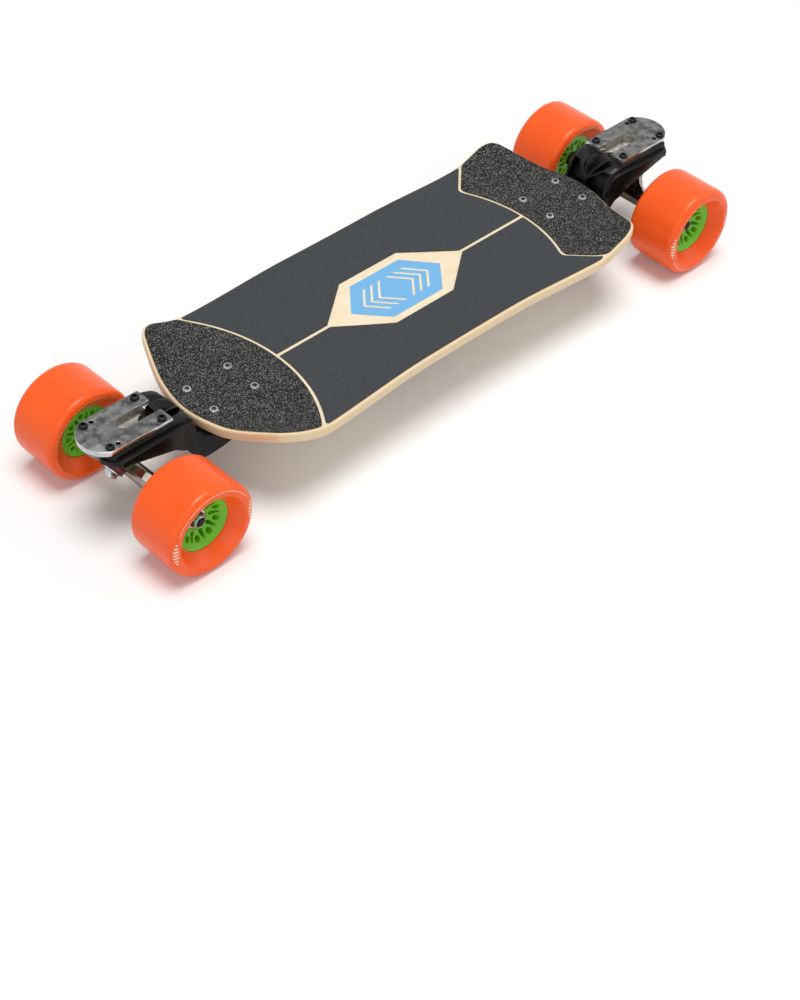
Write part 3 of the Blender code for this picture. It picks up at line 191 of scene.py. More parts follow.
def rod(radius: float, low: float, high: float, segments: int = 32) -> Shape:
    """Make an upright rod with closed ends.

    Args:
        radius: Its radius.
        low: Height of its foot.
        high: Height of its head.
        segments: Steps round it.

    Returns:
        The solid.
    """
    bm = bmesh.new()
    bmesh.ops.create_cone(bm, cap_ends=True, segments=segments, radius1=radius, radius2=radius,
                          depth=high - low)
    bmesh.ops.translate(bm, verts=bm.verts, vec=(0.0, 0.0, (low + high) / 2))
    return bm


def moved(bm: Shape, matrix: Matrix) -> Shape:
    """Carry a shape along by a matrix and return it."""
    bm.transform(matrix)
    return bm


def shift(x: float = 0.0, y: float = 0.0, z: float = 0.0) -> Matrix:
    """Make the matrix of a move."""
    return Matrix.Translation((x, y, z))


def rounded(bm: Shape, width: float, segments: int = 3, angle: float = 30.0,
            rim: int = -1) -> Shape:
    """Round a shape's edges that are sharper than an angle.

    Args:
        bm: The shape, without doubles.
        width: Reach of the rounding along both faces.
        segments: Steps across it.
        angle: Edges flatter than this, in degrees, stay.
        rim: Material slot of the rounding, -1 for its neighbours'.

    Returns:
        The same shape.
    """
    limit = math.radians(angle)
    edges = [edge for edge in bm.edges
             if edge.is_manifold and edge.calc_face_angle(0.0) > limit]
    bmesh.ops.bevel(bm, geom=edges, offset=width, offset_type="OFFSET", segments=segments,
                    profile=0.5, affect="EDGES", clamp_overlap=True, material=rim)
    return bm


def merged(shapes: Iterable[Shape]) -> Shape:
    """Put shapes that don't touch into one mesh.

    Args:
        shapes: The shapes, used up.

    Returns:
        All of them in one.
    """
    whole = bmesh.new()
    for shape in shapes:
        mesh = bpy.data.meshes.new("part")
        shape.to_mesh(mesh)
        shape.free()
        whole.from_mesh(mesh)
        bpy.data.meshes.remove(mesh)
    return whole


def painted(bm: Shape) -> Shape:
    """Give all of a shape's faces the second finish of its piece, and return it."""
    for face in bm.faces:
        face.material_index = 1
    return bm


def put(name: str, data: bpy.types.ID) -> bpy.types.Object:
    """Put a mesh, a lamp or a camera into the scene.

    Args:
        name: The object's name.
        data: What it shows.

    Returns:
        The object.
    """
    item = bpy.data.objects.new(name, data)
    bpy.context.scene.collection.objects.link(item)
    return item


def placed(name: str, bm: Shape) -> bpy.types.Object:
    """Put a shape into the scene.

    Args:
        name: The object's name.
        bm: The shape, used up.

    Returns:
        The object.
    """
    mesh = bpy.data.meshes.new(name)
    bm.to_mesh(mesh)
    bm.free()
    return put(name, mesh)


def combined(bm: Shape, tools: Iterable[Shape], meeting: Meeting) -> Shape:
    """Cut a shape by other solids, or join them to it.

    Args:
        bm: The shape.
        tools: The other solids, used up.
        meeting: What they do to it.

    Returns:
        The result.
    """
    body = placed("body", bm)
    for tool in tools:
        other = placed("tool", tool)
        modifier = body.modifiers.new("combine", "BOOLEAN")
        modifier.operation = meeting.value
        modifier.solver = "EXACT"
        modifier.object = other
        graph = bpy.context.evaluated_depsgraph_get()
        result = bpy.data.meshes.new_from_object(body.evaluated_get(graph))
        body.modifiers.clear()
        body.data = result
        bpy.data.objects.remove(other)
    whole = bmesh.new()
    whole.from_mesh(body.data)
    bpy.data.objects.remove(body)
    return whole


def fused(bm: Shape, voxel: float, passes: int) -> Shape:
    """Melt a shape into one skin with soft fillets, as a casting has.

    Args:
        bm: Closed solids, which may overlap.
        voxel: Grain of the new skin.
        passes: How often the skin is smoothed.

    Returns:
        The skin.
    """
    body = placed("body", bm)
    remesh = body.modifiers.new("skin", "REMESH")
    remesh.mode = "VOXEL"
    remesh.voxel_size = voxel
    smooth = body.modifiers.new("smooth", "SMOOTH")
    smooth.factor = 0.5
    smooth.iterations = passes
    graph = bpy.context.evaluated_depsgraph_get()
    whole = bmesh.new()
    whole.from_mesh(body.evaluated_get(graph).data)
    bpy.data.objects.remove(body)
    return whole


def copy_of(node: str, flat: float = 0.3) -> Shape:
    """Copy a CAD node's mesh, its doubles merged and its flat stretches joined.

    Args:
        node: The node's name.
        flat: Faces that meet at less than this, in degrees, are joined.

    Returns:
        The copy.
    """
    bm = bmesh.new()
    bm.from_mesh(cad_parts[node].data)
    bmesh.ops.remove_doubles(bm, verts=bm.verts, dist=DOUBLE)
    bmesh.ops.dissolve_limit(bm, angle_limit=math.radians(flat), verts=bm.verts, edges=bm.edges)
    return bm


def arc(centre: Point, radius: float, start: float, end: float, steps: int) -> list[Point]:
    """List the points of an arc, its ends included, from angles in degrees."""
    return [(centre[0] + radius * math.cos(math.radians(start + (end - start) * i / steps)),
             centre[1] + radius * math.sin(math.radians(start + (end - start) * i / steps)))
            for i in range(steps + 1)]


# Finishes
def linear(code: str) -> tuple[float, float, float, float]:
    """Turn an sRGB hex colour into a linear one with full alpha."""
    parts = [int(code[i:i + 2], 16) / 255.0 for i in (1, 3, 5)]
    return (*(c / 12.92 if c <= 0.04045 else ((c + 0.055) / 1.055) ** 2.4 for c in parts), 1.0)


def add_node(tree: Tree, kind: str, inputs: dict | None = None,
             **settings: object) -> Node:
    """Add a node with its settings and links.

    Args:
        tree: The material's tree.
        kind: The node's type after "ShaderNode".
        inputs: Values or sockets by the name or number of the input.
        settings: Properties of the node.

    Returns:
        The node.
    """
    node = tree.nodes.new("ShaderNode" + kind)
    for key, value in settings.items():
        setattr(node, key, value)
    for key, value in (inputs or {}).items():
        if isinstance(value, Socket):
            tree.links.new(value, node.inputs[key])
        else:
            node.inputs[key].default_value = value
    return node


@dataclass(frozen=True)
class Finish:
    """A surface of one colour and gloss, which its kinds below add their detail to."""

    name: str
    colour: str
    roughness: float = 0.5
    metallic: float = 0.0
    specular: float = 0.5

    def material(self) -> bpy.types.Material:
        """Make the finish's material, once for all pieces that share it.

        Returns:
            The material.
        """
        known = bpy.data.materials.get(self.name)
        if known:
            return known
        made = bpy.data.materials.new(self.name)
        made.use_nodes = True
        tree = made.node_tree
        shader = tree.nodes["Principled BSDF"]
        for key, value in (("Base Color", linear(self.colour)), ("Roughness", self.roughness),
                           ("Metallic", self.metallic), ("Specular IOR Level", self.specular)):
            shader.inputs[key].default_value = value
        place = add_node(tree, "TexCoord").outputs["Object"]
        self.dress(tree, shader, place)
        return made

    def dress(self, tree: Tree, shader: Node, place: Socket) -> None:
        """Add the finish's pattern to its shader.

        Args:
            tree: The material's tree.
            shader: Its Principled shader.
            place: Object coordinates, in metres.
        """

    def tint(self, tree: Tree, shader: Node, share: Socket, second: str) -> None:
        """Let the colour pass into a second one.

        Args:
            tree: The material's tree.
            shader: Its Principled shader.
            share: Share of the second colour.
            second: That colour.
        """
        tone = add_node(tree, "Mix", {
            0: share, 6: linear(self.colour), 7: linear(second)}, data_type="RGBA")
        tree.links.new(tone.outputs[2], shader.inputs["Base Color"])

    def relief(self, tree: Tree, shader: Node, height: Socket, depth: float,
               strength: float = 1.0) -> None:
        """Raise the surface by a pattern.

        Args:
            tree: The material's tree.
            shader: Its Principled shader.
            height: The pattern, from 0 to 1.
            depth: What a height of 1 stands for, in metres.
            strength: Share of it that the light sees.
        """
        bump = add_node(tree, "Bump", {
            "Height": height, "Distance": depth, "Strength": strength})
        tree.links.new(bump.outputs["Normal"], shader.inputs["Normal"])


@dataclass(frozen=True)
class Veneer(Finish):
    """Rotary-cut maple veneer under satin lacquer: pale, with long faint grain along the board.

    The printed colour attribute, where a piece has one, lies over the wood under the lacquer.
    """

    dark: str = "#E6CFA6"
    grain_length: float = 62.5 * MM
    grain_width: float = 20.0 / 13.0 * MM
    stain: float = 25.0 * MM
    swirl: float = 200.0 / 9.0 * MM
    grain_depth: float = 0.06 * MM
    printed: bool = False

    def dress(self, tree: Tree, shader: Node, place: Socket) -> None:
        """Draw grain lines 1.5 mm apart and about 60 mm long, and stains 25 mm across.

        Args:
            tree: The material's tree.
            shader: Its Principled shader.
            place: Object coordinates, in metres.
        """
        fine = 1.0 / self.grain_width
        stretch = add_node(tree, "Mapping", {
            "Vector": place, "Scale": (1.0 / self.grain_length, fine, fine)})
        grain = add_node(tree, "TexNoise", {
            "Vector": stretch.outputs[0], "Scale": 1.0, "Detail": 3.0, "Roughness": 0.6})
        stain = add_node(tree, "TexNoise", {
            "Vector": place, "Scale": 1.0 / self.stain, "Detail": 2.0})
        both = add_node(tree, "Math", {
            0: grain.outputs[0], 1: stain.outputs[0]}, operation="MULTIPLY")
        share = add_node(tree, "MapRange", {
            "Value": both.outputs[0], "From Min": 0.18, "From Max": 0.42, "To Max": 0.75})
        wood = add_node(tree, "Mix", {
            0: share.outputs[0], 6: linear(self.colour), 7: linear(self.dark)}, data_type="RGBA")
        colour = wood.outputs[2]
        if self.printed:
            ink = add_node(tree, "VertexColor", layer_name="print")
            swirl = add_node(tree, "TexNoise", {
                "Vector": place, "Scale": 1.0 / self.swirl, "Detail": 6.0, "Roughness": 0.62,
                "Distortion": 2.5})
            tone = add_node(tree, "MapRange", {
                "Value": swirl.outputs[0], "From Min": 0.35, "From Max": 0.68, "To Min": 0.45,
                "To Max": 1.9})
            deep = add_node(tree, "Mix", {0: 1.0, 6: ink.outputs[0], 7: tone.outputs[0]},
                            data_type="RGBA", blend_type="MULTIPLY", clamp_result=True)
            over = add_node(tree, "Mix", {
                0: ink.outputs[1], 6: colour, 7: deep.outputs[2]}, data_type="RGBA")
            colour = over.outputs[2]
        tree.links.new(colour, shader.inputs["Base Color"])
        self.relief(tree, shader, grain.outputs[0], self.grain_depth)


@dataclass(frozen=True)
class PlyEdge(Finish):
    """Sanded edge of nine maple plies: lines of pale and darker wood that follow the rail."""

    dark: str = "#D3B382"
    plies: int = 9
    waver: float = 200.0 / 7.0 * MM
    waver_share: float = 0.05

    def dress(self, tree: Tree, shader: Node, place: Socket) -> None:
        """Draw a line for each ply from the attribute that runs up the rail from 0 to 1.

        Args:
            tree: The material's tree.
            shader: Its Principled shader.
            place: Object coordinates, in metres.
        """
        height = add_node(tree, "Attribute", attribute_name="ply")
        waver = add_node(tree, "TexNoise", {
            "Vector": place, "Scale": 1.0 / self.waver, "Detail": 2.0})
        bent = add_node(tree, "Math", {
            0: waver.outputs[0], 1: self.waver_share, 2: height.outputs["Fac"]},
            operation="MULTIPLY_ADD")
        wave = add_node(tree, "Math", {
            0: bent.outputs[0], 1: self.plies * 2 * math.pi}, operation="MULTIPLY")
        sine = add_node(tree, "Math", {0: wave.outputs[0]}, operation="SINE")
        share = add_node(tree, "MapRange", {
            "Value": sine.outputs[0], "From Min": -0.2, "From Max": 1.0, "To Max": 0.8})
        self.tint(tree, shader, share.outputs[0], self.dark)


@dataclass(frozen=True)
class Abrasive(Finish):
    """Silicon carbide grit glued on cloth: a dark matt ground, with glints painted into the colour
    of some grains.
    """

    sparkle: str = "#9DA1A4"
    grain: float = 1.1 * MM
    share: float = 0.16
    lies: tuple[float, float] = (0.6, -0.9)

    def dress(self, tree: Tree, shader: Node, place: Socket) -> None:
        """Paint glints into the colour of some of the long grains, which lie in two directions,
        and raise them all.

        Args:
            tree: The material's tree.
            shader: Its Principled shader.
            place: Object coordinates, in metres.
        """
        layers = []
        for turn in self.lies:
            lie = add_node(tree, "Mapping", {
                "Vector": place, "Rotation": (0.0, 0.0, turn), "Scale": (1.0, 2.2, 1.0)})
            cells = add_node(tree, "TexVoronoi", {
                "Vector": lie.outputs[0], "Scale": 0.6 / self.grain})
            value = add_node(tree, "SeparateColor", {0: cells.outputs["Color"]})
            lit = add_node(tree, "MapRange", {
                "Value": value.outputs[0], "From Max": 1.0, "From Min": 1.0 - self.share})
            core = add_node(tree, "MapRange", {
                "Value": cells.outputs["Distance"], "To Min": 1.0, "From Min": 0.15,
                "From Max": 0.5, "To Max": 0.0})
            glint = add_node(tree, "Math", {
                0: lit.outputs[0], 1: core.outputs[0]}, operation="MULTIPLY")
            layers.append((glint, cells, value))
        both = add_node(tree, "Math", {
            0: layers[0][0].outputs[0], 1: layers[1][0].outputs[0]}, operation="MAXIMUM")
        # Painted glints: the picked grains take a paler colour, as if they caught the light
        self.tint(tree, shader, both.outputs[0], self.sparkle)
        gloss = add_node(tree, "MapRange", {
            "Value": layers[0][2].outputs[1], "To Min": 0.45, "To Max": 0.9})
        tree.links.new(gloss.outputs[0], shader.inputs["Roughness"])
        self.relief(tree, shader, layers[0][1].outputs["Distance"], self.grain * 0.5, 0.8)


@dataclass(frozen=True)
class Moulded(Finish):
    """Moulded nylon or rubber: an even colour with the faint orange peel of a steel mould."""

    peel: float = 0.8 * MM
    cloud: float = 50.0 / 3.0 * MM
    depth: float = 0.03 * MM

    def dress(self, tree: Tree, shader: Node, place: Socket) -> None:
        """Raise a fine peel and let the gloss wander a little.

        Args:
            tree: The material's tree.
            shader: Its Principled shader.
            place: Object coordinates, in metres.
        """
        peel = add_node(tree, "TexNoise", {
            "Vector": place, "Scale": 1.0 / self.peel, "Detail": 2.0})
        cloud = add_node(tree, "TexNoise", {
            "Vector": place, "Scale": 1.0 / self.cloud, "Detail": 3.0})
        gloss = add_node(tree, "MapRange", {
            "Value": cloud.outputs[0], "From Min": 0.3, "From Max": 0.7,
            "To Min": self.roughness - 0.06, "To Max": self.roughness + 0.08})
        tree.links.new(gloss.outputs[0], shader.inputs["Roughness"])
        self.relief(tree, shader, peel.outputs[0], self.depth)


@dataclass(frozen=True)
class Metal(Finish):
    """Bare or coated metal: mottled in cloud-like patches, with rubbed lines along the board."""

    dark: str = "#6F7276"
    patch: float = 14.0 * MM
    rubbed: float = 0.12
    line_length: float = 50.0 / 3.0 * MM
    line_width: float = 0.4 * MM
    line_depth: float = 0.01 * MM

    def dress(self, tree: Tree, shader: Node, place: Socket) -> None:
        """Mottle the colour over the patches and streak the gloss 0.4 mm apart.

        Args:
            tree: The material's tree.
            shader: Its Principled shader.
            place: Object coordinates, in metres.
        """
        patches = add_node(tree, "TexNoise", {
            "Vector": place, "Scale": 1.0 / self.patch, "Detail": 5.0, "Roughness": 0.62})
        share = add_node(tree, "MapRange", {
            "Value": patches.outputs[0], "From Min": 0.38, "From Max": 0.64})
        self.tint(tree, shader, share.outputs[0], self.dark)
        fine = 1.0 / self.line_width
        stretch = add_node(tree, "Mapping", {
            "Vector": place, "Scale": (1.0 / self.line_length, fine, fine)})
        lines = add_node(tree, "TexNoise", {
            "Vector": stretch.outputs[0], "Scale": 1.0, "Detail": 2.0})
        gloss = add_node(tree, "MapRange", {
            "Value": lines.outputs[0], "From Min": 0.3, "From Max": 0.7,
            "To Min": self.roughness - self.rubbed, "To Max": self.roughness + self.rubbed})
        tree.links.new(gloss.outputs[0], shader.inputs["Roughness"])
        self.relief(tree, shader, lines.outputs[0], self.line_depth)


@dataclass(frozen=True)
class Urethane(Finish):
    """Poured urethane: saturated and slightly glowing, with a silky skin worn by the mould."""

    glow: float = 0.12
    deep: str = "#FF4A12"
    reach: float = 4.0 * MM
    reach_by_colour: tuple[float, float, float] = (1.0, 0.35, 0.12)
    cloud: float = 40.0 * MM
    peel: float = 10.0 / 9.0 * MM
    peel_depth: float = 0.012 * MM

    def dress(self, tree: Tree, shader: Node, place: Socket) -> None:
        """Let some light through the skin and let the colour and the gloss wander.

        Args:
            tree: The material's tree.
            shader: Its Principled shader.
            place: Object coordinates, in metres.
        """
        shader.inputs["Subsurface Weight"].default_value = self.glow
        shader.inputs["Subsurface Radius"].default_value = self.reach_by_colour
        shader.inputs["Subsurface Scale"].default_value = self.reach
        cloud = add_node(tree, "TexNoise", {
            "Vector": place, "Scale": 1.0 / self.cloud, "Detail": 3.0})
        self.tint(tree, shader, cloud.outputs[0], self.deep)
        peel = add_node(tree, "TexNoise", {
            "Vector": place, "Scale": 1.0 / self.peel, "Detail": 1.0})
        self.relief(tree, shader, peel.outputs[0], self.peel_depth)


# Rotary-cut maple of the top, pale ivory under satin lacquer
MAPLE = Veneer("maple_veneer_satin", "#F4E4C6", 0.45)
# The same wood pressed with ridges, and printed in the middle
PRESSED_MAPLE = Veneer("maple_veneer_pressed", "#F3E2C4", 0.48, printed=True)
# Sanded ply edge, a warm stack of thin lines
PLY_EDGE = PlyEdge("maple_ply_sanded", "#EFD9B4", 0.42)
# Coarse silicon carbide on the ends, black, with bright grains that are painted glints
COARSE_GRIT = Abrasive("silicon_carbide_coarse", "#0C0D0E", 0.75, specular=0.2,
                       sparkle="#C9C7C0", grain=1.0 * MM, share=0.42)
# Fine grit in the middle, an even dark slate, with faint painted glints on its grains
FINE_GRIT = Abrasive("silicon_carbide_fine", "#34373A", 0.8, specular=0.25,
                     sparkle="#585C60", grain=0.7 * MM, share=0.5)
# Glass-filled nylon, moulded: deep black with soft broad highlights
BLACK_NYLON = Moulded("glass_filled_nylon_moulded", "#0B0B0C", 0.28, specular=0.2)
# Tumbled aluminium casting, grey and mottled
PLATE_METAL = Metal("aluminium_cast_tumbled", "#82817F", 0.36, 1.0, dark="#484949",
                    patch=9.0 * MM)
# Bare casting inside the plate's slot and pocket, pale and grainy
RAW_METAL = Metal("aluminium_cast_raw", "#B9B5AC", 0.5, 1.0, dark="#8D8A84", patch=5.0 * MM)
# Ground and polished aluminium of the plate's rims, which catch the light
PLATE_RIM = Metal("aluminium_polished", "#D2D3D3", 0.2, 1.0, dark="#B2B4B6", rubbed=0.04)
# Coated aluminium casting of the hangers, warm bronze grey and silky
HANGER_METAL = Metal("aluminium_cast_coated", "#A0978F", 0.22, 1.0, dark="#7A716A",
                     patch=30.0 * MM, rubbed=0.06)
# Zinc-plated steel of nuts and bolts, bright and slightly blue
ZINC = Metal("steel_zinc_plated", "#C9CCCF", 0.24, 1.0, dark="#A7ABAF", patch=6.0 * MM,
             rubbed=0.05)
# The same plating dulled by grit and feet, on the deck bolts' heads
WORN_ZINC = Metal("steel_zinc_worn", "#B4B6B8", 0.3, 1.0, dark="#84878A", patch=4.0 * MM)
# Steel with a black oxide skin, dark with thin edge light, on the truck bolts; the same dark
# finish is painted shade in the deck bolts' sockets, on the lock nuts' rings and on the axles'
# thread tips
BLACK_OXIDE_AND_SHADE = Metal("steel_black_oxide_and_painted_shade", "#2B2C2E", 0.36, 0.9, dark="#1B1C1D",
                    patch=5.0 * MM, rubbed=0.05)
# Polished bearing steel
RACE_STEEL = Metal("steel_bearing_polished", "#D3D5D6", 0.14, 1.0, dark="#B9BBBD",
                   rubbed=0.02)
# Dark red poured urethane of the bushings, glossy
BUSHING_RED = Urethane("urethane_bushing_red", "#7A1018", 0.28, deep="#560A10", glow=0.1)
# Black rubber of the pivot cups
CUP_BLACK = Moulded("urethane_cup_black", "#161616", 0.5)
# Poured wheel urethane, vivid orange
TYRE_ORANGE = Urethane("urethane_tyre_orange", "#FF671C", 0.28, specular=0.32,
                       deep="#FF540E", glow=0.22)
# Moulded nylon of the wheel cores, bright leaf green
CORE_GREEN = Moulded("nylon_core_green", "#6AC616", 0.34)
# Rubber seal of the bearings, olive in the core's green light
SEAL = Moulded("rubber_bearing_seal", "#3C4A2B", 0.45)
# Printing inks, flat and dull beside the urethane and the lacquer
INK_PALE = Moulded("ink_pale", "#FFE6CF", 0.5)
INK_BLUE = Moulded("ink_blue", "#6FB1E0", 0.42)
# The dashes moulded into the tyres' inner lips, only a little paler than the urethane
INK_FAINT = Moulded("urethane_moulded_dash", "#FFB089", 0.45)


# Pieces
def finished(name: str, bm: Shape, body: str, slot: str, finishes: Sequence[Finish],
             replaces: Sequence[str] = (), sharp: float = 35.0) -> bpy.types.Object:
    """Make a piece of a shape, in its place on the board.

    Args:
        name: The piece's name.
        bm: Its shape, used up.
        body: The CAD body it moves with.
        slot: The record's material slot. It is not used.
        finishes: Its finishes, in the order of its faces' material numbers.
        replaces: The CAD nodes it stands for.
        sharp: Edges sharper than this, in degrees, stay sharp.

    Returns:
        The piece.
    """
    piece = placed(name, bm)
    for finish in finishes:
        piece.data.materials.append(finish.material())
    piece.data.shade_smooth()
    piece.data.set_sharp_from_angle(angle=math.radians(sharp))
    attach(piece, body)
    if replaces:
        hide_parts(*replaces)
    LOG.info("%s: %d faces on %s", name, len(piece.data.polygons), body)
    return piece


# Deck and grip
@dataclass
class DeckShape:
    """The deck's outline and its curved surface, as the CAD model has them."""

    top: float = 88.0 * MM
    thickness: float = 12.5 * MM
    tip: float = 295.0 * MM
    waist: float = 111.0 * MM
    shoulder: float = 114.5 * MM
    shoulder_at: float = 200.0 * MM
    end_slope: float = 0.27
    end_rounding: float = 30.0 * MM
    end_bow: float = 14.0 * MM
    corner_end: float = 15.0 * MM
    corner_side: float = 22.0 * MM
    concave: float = 7.2 * MM
    concave_full_to: float = 60.0 * MM
    concave_gone_at: float = 203.0 * MM
    flare: float = 27.0 * MM
    flare_at: float = 196.5 * MM
    flare_length: float = 90.0 * MM
    flare_from: float = 44.5 * MM
    flare_power: float = 1.55
    corner_tries: int = 20
    end_steps: int = 20
    corner_steps: int = 8
    side_steps: int = 50

    @staticmethod
    def step(value: float) -> float:
        """Rise from 0 to 1 with level ends."""
        value = min(max(value, 0.0), 1.0)
        return value * value * (3.0 - 2.0 * value)

    def half_width(self, x: float) -> float:
        """Half the deck's width at a place along it."""
        share = min(abs(x) / self.shoulder_at, 1.0)
        return self.waist + (self.shoulder - self.waist) * share * share

    def end_reach(self, y: float) -> float:
        """How far the end edge reaches at a place across it."""
        slope = self.end_slope * (math.hypot(y, self.end_rounding) - self.end_rounding)
        return self.tip - slope - self.end_bow * (y / self.shoulder) ** 2

    def rise(self, x: float, y: float) -> float:
        """Find the height of the surface over its flat middle.

        Args:
            x: Place along the board.
            y: Place across it.

        Returns:
            The height.
        """
        across = abs(y) / self.shoulder
        fade = 1.0 - self.step((abs(x) - self.concave_full_to)
                               / (self.concave_gone_at - self.concave_full_to))
        along = self.step((abs(x) - self.flare_at) / self.flare_length)
        beyond = max(abs(y) - self.flare_from, 0.0)
        up = (beyond / (self.shoulder - self.flare_from)) ** self.flare_power
        return self.concave * fade * across * across + self.flare * along * up

    def outline(self, inset: float = 0.0) -> list[Point]:
        """List the outline's points, counter-clockwise from the front tip.

        Args:
            inset: How far inside the deck's edge it runs.

        Returns:
            Points of x and y, about 5 mm apart.
        """
        corner_y = self.shoulder
        for _ in range(self.corner_tries):
            corner_y = self.half_width(self.end_reach(corner_y))
        corner = (self.end_reach(corner_y), corner_y)
        end_y, side_x = corner[1] - self.corner_end, corner[0] - self.corner_side
        steps = [end_y * i / self.end_steps for i in range(self.end_steps + 1)]
        quarter = [(self.end_reach(y), y) for y in steps]
        a, c = quarter[-1], (side_x, self.half_width(side_x))
        for i in range(1, self.corner_steps):
            t = i / self.corner_steps
            quarter.append(tuple((1 - t) ** 2 * a[k] + 2 * t * (1 - t) * corner[k] + t * t * c[k]
                                 for k in (0, 1)))
        steps = [side_x * (1 - i / self.side_steps) for i in range(self.side_steps + 1)]
        quarter += [(x, self.half_width(x)) for x in steps]
        left = quarter + [(-x, y) for x, y in reversed(quarter[:-1])]
        points = left + [(x, -y) for x, y in reversed(left[1:-1])]
        if not inset:
            return points
        return [(p.x - n.x * inset, p.y - n.y * inset) for p, n in outward(points)]


def outward(points: Sequence[Point]) -> list[tuple[Vector, Vector]]:
    """Find the outward direction at each point of an outline.

    Args:
        points: The outline, counter-clockwise.

    Returns:
        Each point with its direction.
    """
    places = [Vector(point) for point in points]
    pairs = []
    for index, here in enumerate(places):
        along = (places[(index + 1) % len(places)] - places[index - 1]).normalized()
        pairs.append((here, Vector((along.y, -along.x))))
    return pairs


def kept_run(points: Sequence[Point], inside: Callable[[float, float], float]) -> list[Point]:
    """Find the one stretch of a closed outline where a measure is positive.

    Args:
        points: The outline, counter-clockwise.
        inside: The measure, from x and y.

    Returns:
        The stretch, its first and last point where the measure is nil.
    """
    count = len(points)
    values = [inside(*point) for point in points]

    def meet(i: int, j: int) -> Point:
        """Find the place between two of the outline's points where the measure is nil.

        Args:
            i: Number of the first point.
            j: Number of the second.

        Returns:
            The place.
        """
        share = values[i] / (values[i] - values[j])
        return (points[i][0] + (points[j][0] - points[i][0]) * share,
                points[i][1] + (points[j][1] - points[i][1]) * share)

    first = next(i for i in range(count) if values[i] < 0.0 <= values[(i + 1) % count])
    run = [meet(first, (first + 1) % count)]
    index = (first + 1) % count
    while values[index] >= 0.0:
        run.append(points[index])
        index = (index + 1) % count
    return run + [meet((index - 1) % count, index)]


def sheet(outline: Sequence[Point], spacing: float) -> Shape:
    """Fill an outline with a flat face, cut along a square lattice.

    Args:
        outline: Points of x and y, counter-clockwise.
        spacing: Distance between the cuts.

    Returns:
        The open sheet at height 0, facing up.
    """
    bm = bmesh.new()
    bm.faces.new([bm.verts.new((x, y, 0.0)) for x, y in outline])
    for axis, normal in enumerate(AXES):
        low = min(point[axis] for point in outline)
        high = max(point[axis] for point in outline)
        for step in range(math.floor(low / spacing) + 1, math.ceil(high / spacing)):
            sliced(bm, normal, step * spacing)
    return bm


